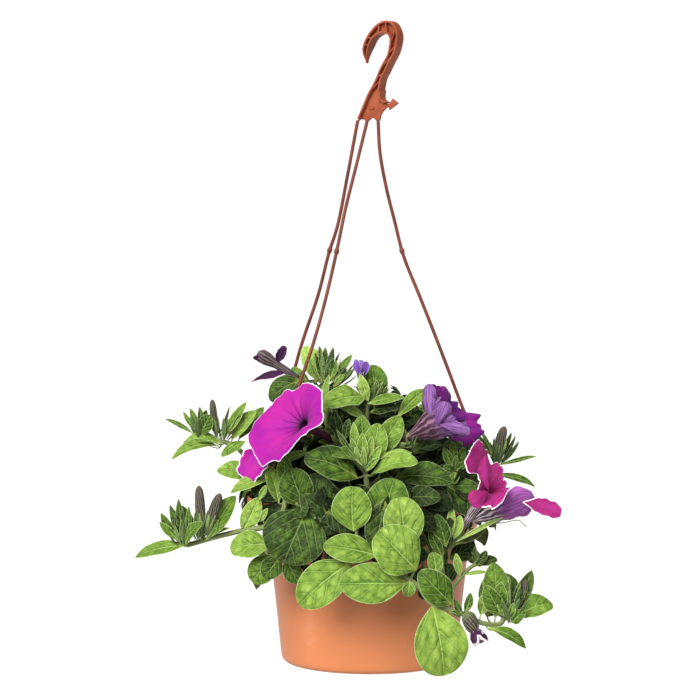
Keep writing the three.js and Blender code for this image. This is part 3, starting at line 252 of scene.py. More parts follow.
            ["top_left_far", [-56, -14, 259], [-73, 0, 279], 12, [-2, -7, 5], 2, 2, 0.6],
        ],
    },
    "shoot_top": {
        "stems": [
            [2.6, [[2, -20, 128], [0, -32, 180], [-2, -44, 215], [-3, -54, 229], [-2, -52, 246],
                [0, -48, 254]]],
            [2.2, [[6, -22, 150], [22, -36, 190], [22, -56, 218], [25, -62, 233]]],
            [1.6, [[0, -50, 251], [-4, -49, 265], [-6, -50, 269]]],
        ],
        "large": [
            ["top_veined", [-4, -54, 253], [-41, -78, 249], 27, [0, -7, 7], 6, 3, 0.66],
            ["top_round_hairy", [8, -46, 247], [2, -40, 283], 25, [1, -9, 2], 3, 3, 0.45],
        ],
        "small": [
            ["top_green_sepal", [-1, -54, 249], [-9, -58, 275], 10, [-1, -9, 1], 2, 2, 0.85],
            ["top_dark_tipped", [-2, -60, 248], [31, -80, 256], 11, [0, -8, 5], 4, 1, 0.55],
            ["top_under_dark", [0, -56, 240], [26, -72, 246], 14, [0, -7, 6], 3, 1, 0.1],
            ["top_pale_long", [25, -68, 236], [54, -62, 263], 15, [-3, -8, 4], 2, 2, 0.6],
            ["top_mid_small", [-3, -60, 235], [-26, -72, 246], 9, [0, -8, 5], 2, 1, 0.7],
            ["top_cluster_a", [5, -48, 251], [12, -52, 268], 5, [1, -9, 1], 1, 1, 0.6],
            ["top_cluster_b", [3, -50, 251], [7, -54, 270], 6, [0, -9, 1], 1, 1, 0.4],
            ["top_cluster_c", [7, -48, 249], [18, -50, 262], 4, [2, -8, 2], 1, 1, 0.3],
            ["top_cluster_d", [-1, -50, 251], [-12, -54, 267], 5, [-1, -9, 1], 1, 1, 0.4],
        ],
    },
    "shoot_upper_left": {
        "stems": [
            [2.8, [[-40, -18, 128], [-72, -30, 158], [-100, -44, 182], [-124, -52, 208],
                [-135, -55, 213]]],
            [1.6, [[-135, -55, 213], [-148, -56, 214], [-158, -56, 220]]],
        ],
        "large": [],
        "small": [
            ["upper_left_long", [-135, -55, 216], [-114, -58, 250], 10, [-1, -8, 4], 2, 2, 0.6],
            ["upper_left_mid", [-128, -52, 213], [-105, -54, 242], 14, [-1, -8, 4], 3, 2, 0.7],
            ["upper_left_back", [-122, -46, 213], [-98, -40, 244], 13, [-1, -8, 4], 2, 2, 0.5],
            ["upper_left_low", [-114, -60, 214], [-136, -76, 201], 12, [-1, -7, 6], 3, 1, 0.55],
            ["upper_left_fold", [-135, -56, 210], [-172, -60, 213], 14, [0, -6, 7], 4, 5, 0.65],
            ["upper_left_droop", [-137, -58, 208], [-182, -72, 199], 14, [0, -6, 8], 8, 3, 0.6],
            ["upper_left_round", [-156, -58, 220], [-147, -62, 238], 15, [0, -9, 2], 2, 3, 0.4],
            ["upper_left_sepal", [-161, -54, 219], [-189, -50, 234], 5, [0, -8, 4], 2, 1, 0.4],
            ["upper_left_bud_a", [-159, -56, 222], [-172, -56, 241], 5, [0, -9, 1], 1, 1, 0.5],
            ["upper_left_bud_b", [-157, -54, 223], [-166, -54, 244], 6, [0, -9, 1], 1, 1, 0.5],
            ["upper_left_bud_c", [-155, -52, 223], [-157, -52, 245], 6, [0, -9, 1], 1, 1, 0.4],
            ["upper_left_bud_d", [-155, -50, 223], [-151, -48, 242], 7, [1, -9, 1], 1, 1, 0.2],
            ["upper_left_spike_a", [-139, -56, 218], [-129, -58, 246], 3, [1, -8, 2], 1, 1, 0.1],
            ["upper_left_spike_b", [-138, -56, 216], [-127, -54, 237], 3, [1, -8, 2], 1, 1, 0.2],
        ],
    },
    "shoot_lower_left": {
        "stems": [
            [3, [[-45, -45, 128], [-64, -74, 160], [-74, -94, 170], [-78, -102, 155], [-87, -98, 142],
                [-119, -88, 134], [-145, -84, 127], [-167, -80, 120]]],
            [2, [[-68, -70, 158], [-84, -70, 176], [-99, -72, 180]]],
        ],
        "large": [
            ["left_oval", [-101, -72, 179], [-140, -72, 189], 20, [0, -8, 6], 4, 3, 0.7],
            ["lower_left_big", [-149, -84, 125], [-123, -84, 166], 20, [-1, -8, 3], 4, 7, 0.55],
        ],
        "small": [
            ["left_inner_grey", [-75, -92, 177], [-78, -98, 203], 15, [-1, -9, 2], 2, 2, 0.5],
            ["left_narrow", [-101, -94, 163], [-94, -96, 177], 6, [1, -8, 2], 1, 1, 0.7],
            ["left_pale_edge", [-83, -92, 159], [-93, -92, 195], 15, [2, -8, 1], 2, 3, 0.65],
            ["left_pale_bent", [-91, -84, 180], [-127, -94, 170], 13, [0, -7, 6], 5, 1, 0.7],
            ["lower_left_tip", [-165, -80, 120], [-215, -82, 110], 15, [0, -7, 6], 3, 2, 0.6],
            ["lower_left_front", [-168, -84, 120], [-152, -100, 144], 14, [-4, -7, 5], 4, 2, 0.5],
            ["lower_left_pale", [-117, -88, 132], [-101, -92, 165], 18, [1, -8, 3], 3, 2, 0.8],
            ["lower_left_cup", [-167, -76, 123], [-174, -74, 156], 18, [1, -9, 2], 4, 6, 0.35],
            ["lower_left_bud_a", [-174, -80, 123], [-191, -82, 150], 9, [-1, -9, 1], 1, 2, 0.4],
            ["lower_left_bud_b", [-174, -84, 124], [-192, -88, 142], 8, [-2, -9, 1], 1, 1, 0.5],
            ["lower_left_bud_c", [-173, -78, 123], [-183, -78, 157], 8, [0, -9, 1], 1, 1, 0.3],
            ["lower_left_bud_d", [-171, -82, 123], [-175, -82, 163], 8, [0, -9, 1], 1, 1, 0.3],
            ["lower_left_bud_e", [-165, -84, 125], [-165, -88, 157], 6, [0, -9, 1], 1, 1, 0.4],
            ["lower_left_bud_f", [-156, -84, 126], [-158, -88, 154], 7, [0, -9, 1], 1, 1, 0.4],
            ["lower_left_sepal", [-150, -86, 125], [-138, -92, 145], 7, [1, -8, 3], 1, 1, 0.5],
            ["lower_left_twig", [-145, -88, 129], [-127, -94, 138], 4, [0, -7, 5], 1, 1, 0.6],
            ["lower_left_join_a", [-108, -90, 139], [-110, -86, 154], 7, [0, -9, 1], 1, 1, 0.7],
            ["lower_left_join_b", [-102, -92, 142], [-93, -96, 156], 6, [1, -8, 3], 1, 1, 0.8],
        ],
    },
    "shoot_left": {
        "stems": [
            [2.8, [[-38, -38, 128], [-58, -66, 150], [-72, -88, 166], [-71, -104, 164], [-58, -108, 157],
                [-45, -113, 145]]],
            [2.4, [[-68, -82, 162], [-70, -96, 172], [-76, -106, 166], [-79, -107, 152],
                [-89, -100, 127], [-82, -100, 112]]],
        ],
        "large": [
            ["left_round_dark", [-59, -104, 159], [-72, -110, 193], 32, [-2, -9, 2], 4, 4, 0.36],
            ["left_big_dark", [-57, -104, 156], [-78, -122, 110], 59, [-1, -9, 2], 6, 4, 0.27],
            ["left_bumpy_dark", [-33, -108, 135], [-54, -108, 188], 38, [-2, -9, 1], 5, 3, 0.2],
            ["left_low_bright", [-89, -100, 123], [-127, -100, 120], 27, [0, -8, 5], 4, 3, 0.72],
            ["left_low_hang", [-85, -98, 114], [-108, -96, 89], 25, [-1, -9, 1], 3, 2, 0.55],
        ],
        "small": [
            ["left_big_light", [-56, -101, 156], [-37, -112, 131], 20, [4, -8, 1], 3, 2, 0.65],
            ["left_low_inner", [-82, -98, 112], [-96, -104, 94], 20, [0, -9, 2], 2, 2, 0.35],
            ["left_low_grey", [-76, -98, 110], [-65, -106, 89], 18, [0, -9, 1], 2, 2, 0.4],
        ],
    },
    "shoot_right_upper": {
        "stems": [
            [2.6, [[35, -18, 128], [56, -30, 158], [66, -44, 180], [65, -62, 177], [76, -62, 187]]],
            [2.2, [[40, -34, 130], [56, -60, 158], [60, -74, 160], [52, -80, 131], [65, -76, 116]]],
        ],
        "large": [
            ["right_ribbed", [63, -64, 178], [103, -84, 148], 34, [1, -8, 4], 4, 4, 0.3],
        ],
        "small": [
            ["right_mid_dark", [53, -82, 133], [49, -84, 164], 15, [0, -9, 1], 2, 2, 0.2],
            ["right_small_dark", [66, -78, 118], [60, -80, 147], 14, [0, -9, 1], 2, 2, 0.25],
            ["right_shade_low", [73, -72, 106], [97, -66, 120], 20, [1, -8, 3], 2, 2, 0.15],
            ["right_whorl_a", [76, -64, 189], [68, -66, 208], 9, [-1, -8, 3], 2, 3, 0.5],
            ["right_whorl_b", [78, -63, 190], [76, -64, 214], 8, [0, -9, 1], 2, 2, 0.5],
            ["right_whorl_c", [80, -62, 189], [87, -62, 209], 8, [1, -8, 2], 2, 2, 0.5],
            ["right_whorl_d", [79, -66, 187], [89, -72, 195], 8, [1, -8, 4], 2, 2, 0.4],
            ["right_whorl_e", [76, -66, 186], [67, -72, 191], 8, [-1, -8, 4], 2, 2, 0.4],
            ["right_whorl_f", [78, -68, 186], [77, -76, 176], 9, [0, -8, 5], 2, 2, 0.6],
            ["right_whorl_g", [78, -66, 189], [79, -74, 202], 6, [0, -9, 3], 1, 1, 0.6],
        ],
    },
    "shoot_right_bud": {
        "stems": [
            [2.2, [[48, -8, 128], [80, -18, 162], [104, -28, 180], [110, -30, 172], [120, -28, 188]]],
            [1.6, [[102, -27, 179], [110, -35, 171], [113.5, -40.5, 158], [111.5, -41.5, 143],
                [111, -41, 137]]],
        ],
        "large": [],
        "small": [
            ["bud_leaf_long", [119, -28, 188], [156, -30, 198], 5, [0, -8, 5], 2, 1, 0.4],
            ["bud_leaf_low", [115, -30, 180], [155, -34, 170], 9, [0, -7, 7], 3, 1, 0.4],
            ["bud_leaf_left", [115, -28, 195], [97, -30, 220], 6, [-1, -8, 2], 2, 1, 0.3],
            ["bud_leaf_left_b", [116, -28, 197], [104, -26, 221], 4, [-1, -8, 2], 1, 1, 0.4],
            ["bud_leaf_mid", [119, -30, 191], [127, -34, 216], 7, [0, -9, 2], 1, 2, 0.6],
            ["bud_leaf_tall", [121, -28, 191], [133, -28, 219], 5, [1, -8, 1], 1, 1, 0.1],
            ["bud_leaf_right", [123, -28, 189], [140, -28, 211], 4, [1, -8, 1], 1, 1, 0.1],
            ["bud_leaf_right_b", [122, -26, 188], [137, -24, 216], 4, [1, -8, 1], 1, 1, 0.2],
            ["bud_round_dark", [111, -40, 136], [126, -44, 147], 13, [1, -8, 4], 2, 3, 0.3],
        ],
    },
}

# Shoots on the far side follow one pattern, [azimuth in degrees, reach, drop, leaves].
FAR_SHOOTS = [[42, 131, 96, 8], [60, 142, 96, 9], [86, 136, 70, 8], [112, 144, 92, 9], [138, 134, 66, 8]]

# Open flowers: calyx [base, length of the sepals], sepals [width, spread], threads (dry filaments, as
# routes), tube [base, middle of the mouth], throat (radius of the mouth), flare (where along the tube
# it starts to widen), folds and ruffle (heights of the limb's lobes and of its frill), and the rim of
# the limb as points in order round the mouth. Petals are leaf rows for lobes that fold away from the
# limb, and their last number says where they start: 0 at the mouth, below 0 in the tube.
FLOWERS = {
    "flower_magenta": {
        "calyx": [[-29, -71, 213], 15], "sepals": [6.2, 0.42], "threads": [],
        "tube": [[-33, -75, 216], [-60, -98, 232]],
        "throat": 5, "flare": 0.4, "folds": 1.5, "ruffle": 0.6,
        "rim": [
            [-70, -80, 262], [-64, -82, 268], [-57, -88, 270], [-49, -100, 268],
            [-43, -113, 263], [-44, -124, 252], [-42, -136, 244], [-43, -144, 236],
            [-56, -138, 229], [-63, -136, 223], [-70, -137, 214], [-80, -136, 203],
            [-88, -127, 202], [-98, -120, 196], [-105, -100, 205], [-111, -75, 221],
            [-103, -68, 235], [-96, -66, 243], [-90, -66, 249], [-77, -70, 262],
        ],
        "petals": [["fold", [-90, -85, 214], [-115, -88, 182], 28, [-3, -8, 2], 2, 4, 0.3]],
    },
    "flower_purple": {
        "calyx": [[19, -77, 209], 12], "sepals": [6.2, 0.42], "threads": [],
        "tube": [[24, -78, 213], [63, -90, 234]],
        "throat": 15, "flare": 0.12, "folds": 3.2, "ruffle": 1.9,
        "rim": [
            [53, -86, 268], [58, -78, 266], [63, -72, 264], [67, -68, 266], [70, -64, 262],
            [75, -60, 259], [79, -58, 253], [84, -58, 247], [88, -60, 241], [94, -62, 238],
            [98, -66, 232], [104, -74, 223], [96, -84, 216], [88, -93, 213], [79, -100, 217],
            [75, -106, 222], [76, -112, 226], [82, -117, 229], [85, -119, 232], [77, -118, 239],
            [70, -114, 246], [64, -108, 251], [58, -99, 258],
        ],
        "petals": [
            ["fold_upper", [61, -106, 232], [68, -116, 255], 16, [1, 8, 0], -4, 5, 0.15],
            ["fold_lower", [62, -109, 234], [90, -123, 228], 14, [1, 8, 3], -4, 5, 0.15],
            ["fold_left", [57, -97, 232], [53, -93, 269], 15, [2, 8, 0], -3, 4, 0.15],
        ],
    },
    "flower_pink": {
        "calyx": [[72, -82, 118], 20], "sepals": [6.5, 0.3],
        "threads": [[[104, -84, 140], [122, -82, 141], [136, -80, 143], [140, -80, 140], [143, -80, 137]]],
        "tube": [[75, -82, 124], [107, -92, 171]],
        "throat": 5, "flare": 0.2, "folds": 4.6, "ruffle": 1.4,
        "rim": [
            [98, -90, 216], [92, -96, 212], [87, -103, 203], [86, -107, 198], [92, -109, 190],
            [97, -112, 182], [97, -115, 176], [94, -117, 168], [99, -119, 162], [109, -119, 159],
            [116, -117, 160], [121, -110, 168], [126, -101, 174], [123, -91, 181],
            [119, -84, 188], [116, -78, 195], [112, -78, 202], [105, -82, 209],
        ],
        "petals": [
            ["side_lobe", [90, -85, 142], [150, -88, 166], 33, [1, 8, 4], -5, 8, -0.75],
            ["flap", [107, -110, 172], [103, -114, 205], 13, [4, -8, 0], 1, -5, 0.1],
            ["flap_low", [106, -115, 173], [90, -121, 163], 17, [-2, -8, -1], 2, -4, 0.2],
            ["far_lobe", [138, -90, 161], [175, -89, 150], 19, [-1, -8, 4], 3, 2, 0.3],
        ],
    },
}

# Half-open and withered flowers: a tube, [base, tip, radius], how it swells, [places, radii] as
# shares, and its petals.
HALF_FLOWERS = {
    "flower_lavender_small": {
        "tube": [[-6, -50, 264], [-8, -52, 277], 4],
        "swell": [[0, 0.3, 1], [0.5, 0.8, 1]],
        "petals": [
            ["a", [-8, -52, 272], [-13, -53, 289], 7, [-3, -8, 1], 1, 2, 0.25],
            ["b", [-8, -52, 272], [-3, -53, 287], 8, [3, -8, 1], 1, 2, 0.25],
            ["c", [-8, -51, 272], [-8, -46, 288], 8, [0, 8, 1], 1, 2, 0.25],
        ],
    },
    "flower_withered": {
        "tube": [[-66.5, -14, 269], [-105, -11, 292], 4.6],
        "swell": [[0, 0.3, 0.55, 0.78, 0.93, 1], [0.5, 0.75, 0.8, 1.35, 1.3, 0.6]],
        "petals": [
            ["lip", [-90, -12, 283], [-109, -15, 289], 9, [-1, -5, -4], 2, -3, 0.1],
            ["dark", [-111, -14, 265], [-77, -14, 275], 10, [0, -5, 7], 5, -3, 0.3],
            ["purple", [-89, -12, 280], [-79, -10, 299], 9, [1, -9, 1], 2, 2, 0.3],
        ],
    },
}

# Closed buds, [shoot that carries it, base, middle, tip, radius].
BUDS = {
    "bud_lower_left_tall": ["shoot_lower_left", [-153, -84, 127], [-155, -85, 155], [-156, -84, 175], 4.6],
    "bud_lower_left_purple": ["shoot_lower_left", [-149, -88, 131], [-143, -92, 152], [-136, -95, 169], 4.8],
    "bud_upper_left": ["shoot_upper_left", [-141, -56, 218], [-144, -57, 236], [-145, -58, 252], 3.4],
    "bud_right_brown": ["shoot_right_bud", [118, -30, 193], [121, -32, 210], [126, -33, 225], 4.8],
    "bud_right_whorl": ["shoot_front", [132, -118, 64], [139, -116, 80], [140, -114, 93], 4.2],
    "bud_hanging": ["shoot_front", [86, -132, 67], [88, -135, 60], [94, -137, 49], 6.6],
}

# Broad sepals of the pink flower, as leaf rows.
BROAD_SEPALS = [
    ["upright", [72, -101, 126], [74, -103, 160], 8, [0, -9, 1], 2, 2, 0.7],
    ["bright", [76, -99, 128], [82, -100, 150], 10, [0, -9, 2], 2, 2, 0.85],
    ["long", [76, -97, 124], [121, -94, 148], 4.6, [1, -8, 4], 2, 1, 0.75],
    ["dark", [77, -93, 122], [106, -88, 137], 9, [1, -8, 4], 2, -2, 0.15],
]

# Tufts of young leaves at the growing tips, [shoot, foot, direction, leaves, length, lightness].
TUFTS = [
    ["shoot_top_left", [-42, -30, 268], [0.1, -0.1, 1], 9, 34, 0.3],
    ["shoot_top_left", [-30, -30, 264], [0.5, -0.1, 1], 7, 26, 0.4],
    ["shoot_upper_left", [-158, -56, 218], [-0.2, -0.1, 1], 8, 24, 0.25],
    ["shoot_upper_left", [-134, -55, 214], [0.3, -0.1, 1], 6, 30, 0.35],
    ["shoot_lower_left", [-172, -82, 122], [-0.15, -0.1, 1], 10, 30, 0.3],
    ["shoot_lower_left", [-156, -85, 126], [0.1, -0.2, 1], 6, 28, 0.4],
    ["shoot_front", [126, -126, 60], [0.1, -0.1, 1], 12, 34, 0.35],
    ["shoot_top", [4, -50, 252], [0.3, -0.1, 1], 8, 22, 0.4],
    ["shoot_rosette", [36, -84, 212], [0, -0.6, 1], 7, 18, 0.6],
    ["shoot_right_bud", [118, -29, 190], [0.2, 0, 1], 7, 28, 0.25],
    ["shoot_right_lower", [99, -92, 104], [0.2, -0.1, 1], 6, 16, 0.2],
]


# ---------------------------------------------------------------- vectors and curves


def vec(point):
    """The point as an array to reckon with."""
    return np.array(point, float)


def unit(direction):
    """The direction with a length of 1."""
    direction = vec(direction)
    return direction / max(np.linalg.norm(direction), 1e-9)


def polar(radius, angle, height=0):
    """A point at an angle round the pot's axis."""
    return vec((radius * math.cos(angle), radius * math.sin(angle), height))


def smooth(low, high, value):
    """0 at low and 1 at high, with a smooth start and end."""
    share = np.clip((value - low) / (high - low), 0, 1)
    return share * share * (3 - 2 * share)


def curve_through(points, per_span):
    """A smooth curve through the points, sampled per_span times in each span."""
    given = np.array(points, float)
    if len(given) == 2:
        return given[0] + (given[1] - given[0]) * np.linspace(0, 1, per_span + 1)[:, None]
    known = np.vstack([2 * given[0] - given[1], given, 2 * given[-1] - given[-2]])
    w = np.linspace(0, 1, per_span, endpoint=False)[:, None]
    spans = []
    for a, b, c, d in zip(known, known[1:], known[2:], known[3:]):
        knots = [max(np.linalg.norm(q - p), 1e-4) ** 0.5 for p, q in ((a, b), (b, c), (c, d))]
        first = ((b - a) / knots[0] - (c - a) / (knots[0] + knots[1]) + (c - b) / knots[1]) * knots[1]
        second = ((c - b) / knots[1] - (d - b) / (knots[1] + knots[2]) + (d - c) / knots[2]) * knots[1]
        start = b * (2 * w**3 - 3 * w**2 + 1) + first * (w**3 - 2 * w**2 + w)
        spans.append(start + c * (3 * w**2 - 2 * w**3) + second * (w**3 - w**2))
    return np.vstack([*spans, given[-1:]])


def closed_curve_through(points, count):
    """A smooth closed curve through the points, sampled count times evenly between them."""
    given = np.array(points, float)
    place = np.arange(count) * len(given) / count
    index = place.astype(int)
    w = (place - index)[:, None]
    a, b, c, d = (given[(index + k) % len(given)] for k in (-1, 0, 1, 2))
    return 0.5 * (2 * b + (c - a) * w + (2 * a - 5 * b + 4 * c - d) * w**2
                  + (3 * b - a - 3 * c + d) * w**3)


def across_frame(axis):
    """Two directions square to the axis and to each other."""
    hint = (0, 1, 0) if abs(axis[2]) > 0.9 else (0, 0, 1)
    first = unit(np.cross(axis, hint))
    return first, np.cross(axis, first)


def frames_along(path):
    """Tangent and two crosswise directions at each point, turning as little as they can."""
    tangents = np.gradient(path, axis=0)
    tangents /= np.maximum(np.linalg.norm(tangents, axis=1), 1e-9)[:, None]
    first = [across_frame(tangents[0])[0]]
    for tangent in tangents[1:]:
        first.append(unit(first[-1] - tangent * np.dot(first[-1], tangent)))
    first = np.array(first)
    return tangents, first, np.cross(tangents, first)


def nearest_on_stems(point, stems):
    """The point on the routes of the stems that is nearest to the given one."""
    best, best_gap = None, None
    for _, route in stems:
        for start, end in zip(route, route[1:]):
            a, b = vec(start), vec(end)
            share = np.clip(np.dot(point - a, b - a) / max(np.dot(b - a, b - a), 1e-9), 0, 1)
            found = a + (b - a) * share
            gap = np.linalg.norm(found - point)
            if best is None or gap < best_gap:
                best, best_gap = found, gap
    return best


# ---------------------------------------------------------------- pieces

VALUES = ("place", "kind", "share")  # three vectors at each vertex, which the materials read


class Piece:
    """Closed surfaces gathered in millimetres, which become one Blender object."""

    def __init__(self, name):
        self.name = name
        self.points, self.values, self.faces, self.slots = [], [], [], []
        self.count = 0

    def add(self, points, values, quads, triangles, slot=0):
        """One closed surface. Its faces are turned to point outwards."""
        quads = np.array(quads, int).reshape(-1, 4)
        triangles = np.array(triangles, int).reshape(-1, 3)
        flat = np.vstack([quads[:, [0, 1, 2]], quads[:, [0, 2, 3]], triangles])
        a, b, c = (points[flat[:, k]] for k in range(3))
        if np.einsum("ij,ij->i", a, np.cross(b, c)).sum() < 0:
            quads, triangles = quads[:, ::-1], triangles[:, ::-1]
        self.points.append(points)
        self.values.append(values)
        self.faces.append((quads + self.count, triangles + self.count))
        self.slots.append(np.full(len(quads) + len(triangles), slot))
        self.count += len(points)

    def make(self, materials, slot):
        """The Blender object, riding on the body and standing for its CAD node."""
        node = self.name
        mesh = bpy.data.meshes.new(node)
        points = np.vstack(self.points) * MM
        loops = np.concatenate([np.concatenate([q.ravel(), t.ravel()]) for q, t in self.faces])
        sizes = np.concatenate([np.r_[np.full(len(q), 4), np.full(len(t), 3)] for q, t in self.faces])
        mesh.vertices.add(len(points))
        mesh.vertices.foreach_set("co", points.ravel())
        mesh.loops.add(len(loops))
        mesh.loops.foreach_set("vertex_index", loops)
        mesh.polygons.add(len(sizes))
        mesh.polygons.foreach_set("loop_start", np.concatenate([[0], np.cumsum(sizes)[:-1]]))
        mesh.polygons.foreach_set("material_index", np.concatenate(self.slots))
        mesh.polygons.foreach_set("use_smooth", np.ones(len(sizes), bool))
        mesh.update(calc_edges=True)
        values = np.vstack(self.values)
        for k, name in enumerate(VALUES):
            layer = mesh.attributes.new(name, "FLOAT_VECTOR", "POINT")
            layer.data.foreach_set("vector", values[:, 3 * k:3 * k + 3].ravel().astype(np.float32))
        for material in materials:
            mesh.materials.append(material)
        made = bpy.data.objects.new(f"{node}_fine", mesh)
        bpy.context.scene.collection.objects.link(made)
        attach(made, BODY)
        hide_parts(node)
        return made


def loft(piece, rings, values=None, slot=0):
    """A skin over rings of points, (rings, sides, 3), closed by a fan at each end.

    values is left out where the material reads none."""
    count, sides = rings.shape[:2]
    if values is None:
        values = np.zeros((count, sides, 9))
    points = np.vstack([rings.reshape(-1, 3), rings[0].mean(0), rings[-1].mean(0)])
    marks = np.vstack([values.reshape(-1, 9), values[0].mean(0), values[-1].mean(0)])
    here = np.arange(sides)
    after = (here + 1) % sides
    quads = [np.stack([k * sides + here, k * sides + after, (k + 1) * sides + after,
                       (k + 1) * sides + here], 1) for k in range(count - 1)]
    foot = np.stack([np.full(sides, len(points) - 2), after, here], 1)
    last = (count - 1) * sides
    head = np.stack([np.full(sides, len(points) - 1), last + here, last + after], 1)
    piece.add(points, marks, np.vstack(quads), np.vstack([foot, head]), slot)


def ring_values(place, kind, share, shape):
    """The nine values at each vertex of a grid, from numbers or arrays that fit its shape."""
    return np.stack([np.broadcast_to(v, shape) for v in (*place, *kind, *share)], -1)


END_REACH, END_RADIUS = 0.8, 0.45  # of the ring that rounds the end of a tube, as shares of its radius


def tube(piece, route, radius, sides, per_span, seed=0.0, tone=0.5, slot=0):
    """A round stem along a route. radius is one number, or one for each end."""
    path = curve_through(route, per_span)
    tangents, first, second = frames_along(path)
    steps = np.linalg.norm(np.diff(path, axis=0), axis=1)
    along = np.concatenate([[0], np.cumsum(steps)])
    share = along / along[-1]
    near, far = (radius, radius) if np.isscalar(radius) else radius
    size = near + (far - near) * share
    rows = [(0, path[0] - tangents[0] * size[0] * END_REACH, size[0] * END_RADIUS)]
    rows += [(i, path[i], size[i]) for i in range(len(path))]
    rows.append((len(path) - 1, path[-1] + tangents[-1] * size[-1] * END_REACH, size[-1] * END_RADIUS))
    angle = np.arange(sides) * 2 * math.pi / sides
    rings = np.array([centre + r * (np.outer(np.cos(angle), first[i]) + np.outer(np.sin(angle), second[i]))
                      for i, centre, r in rows])
    index = [i for i, _, _ in rows]
    values = ring_values(
        (along[index][:, None], np.cos(angle), np.sin(angle)), (size[index][:, None], seed, tone),
        (share[index][:, None], 0, 0), rings.shape[:2])
    loft(piece, rings, values, slot)


# ---------------------------------------------------------------- leaves

BROADEST = 1.15  # above 1 the blade is broadest beyond its middle
LEAF_HALF = 0.32  # half the thickness of a blade
EDGE_STATIONS = (0.955, 0.988, 1.0)


def stations(count):
    """Shares of the way along a blade, closer together towards its ends."""
    even = np.linspace(0, 1, count + 1)
    return 0.5 * even + 0.25 * (1 - np.cos(math.pi * even))


def columns(count):
    """Places across a blade from -1 to 1, closer together in the margins of a finer grid."""
    inner = np.linspace(-0.9, 0.9, count)
    edge = np.array(EDGE_STATIONS if count > 7 else EDGE_STATIONS[-1:])
    return np.concatenate([-edge[::-1], inner, edge])


def outline(along, width, length):
    """Half-width of a blade as a share of its widest: a tapered base and a rounder tip."""
    blunt = np.clip(1 - 0.8 * width / length, 0.43, 0.74)
    power = blunt + 0.4 * (1 - smooth(0, 0.55, along)) * (1 - blunt * 0.5)
    return np.sin(math.pi * along**BROADEST) ** power


def blade_frame(row):
    """Both ends of a leaf row, its length, and the ways along, up from and across the blade."""
    _, base, tip, _, faces, *_ = row
    start, end = vec(base), vec(tip)
    length = np.linalg.norm(end - start)
    run = (end - start) / length
    up = unit(faces)
    up = unit(up - run * np.dot(up, run))
    return start, end, length, run, up, np.cross(run, up)


VEIN_SWEEP = 1.2  # how far forward a side vein runs for each step away from the midrib
VEIN_CURVE = 0.009  # how much more it bends forward, per millimetre


def vein_phase(along, across, spacing, seed):
    """Whole numbers lie on the side veins, which leave the midrib forwards and curve."""
    swept = along - VEIN_SWEEP * np.abs(across) - VEIN_CURVE * across**2
    return swept / spacing + np.where(across > 0, 0.5, 0.0) + seed


def close_blade(piece, top, bottom, top_values, bottom_values, slot):
    """Two grids that share their margins and their two ends become one closed blade."""
    rows, cols = top.shape[:2]
    inner = (rows - 2) * cols
    grid = np.zeros((rows, cols), int)
    grid[1:-1] = np.arange(inner).reshape(rows - 2, cols)
    grid[0], grid[-1] = inner, inner + 1
    under = grid.copy()
    under[1:-1, 1:-1] = inner + 2 + np.arange((rows - 2) * (cols - 2)).reshape(rows - 2, cols - 2)

    def gathered(upper, lower):
        ends = np.vstack([upper[0].mean(0), upper[-1].mean(0)])
        return np.vstack([upper[1:-1].reshape(inner, -1), ends,
                          lower[1:-1, 1:-1].reshape(-1, lower.shape[2])])

    quads, triangles = [], []
    for index, turn in ((grid, 1), (under, -1)):
        a, b, c, d = index[1:-2, :-1], index[1:-2, 1:], index[2:-1, 1:], index[2:-1, :-1]
        quads.append(np.stack([a, b, c, d], -1).reshape(-1, 4)[:, ::turn])
        base = np.stack([index[0, :-1], index[1, 1:], index[1, :-1]], -1)
        tip = np.stack([index[-1, :-1], index[-2, :-1], index[-2, 1:]], -1)
        triangles.append(np.vstack([base[:, ::turn], tip[:, ::turn]]))
    piece.add(gathered(top, bottom), gathered(top_values, bottom_values),
              np.vstack(quads), np.vstack(triangles), slot)


def blisters(along, across, size, dice):
    """Puffed domes of about the given size between narrow creases, in no regular order."""
    total = 0
    for _ in range(6):
        turn, phase = dice.uniform(0, math.pi), dice.uniform(0, 2 * math.pi)
        wave = 2 * size * dice.uniform(0.8, 1.5)
        place = along * math.cos(turn) + across * math.sin(turn)
        total = total + np.sin(2 * math.pi * place / wave + phase)
    return np.abs(total / 2.4) ** 0.7


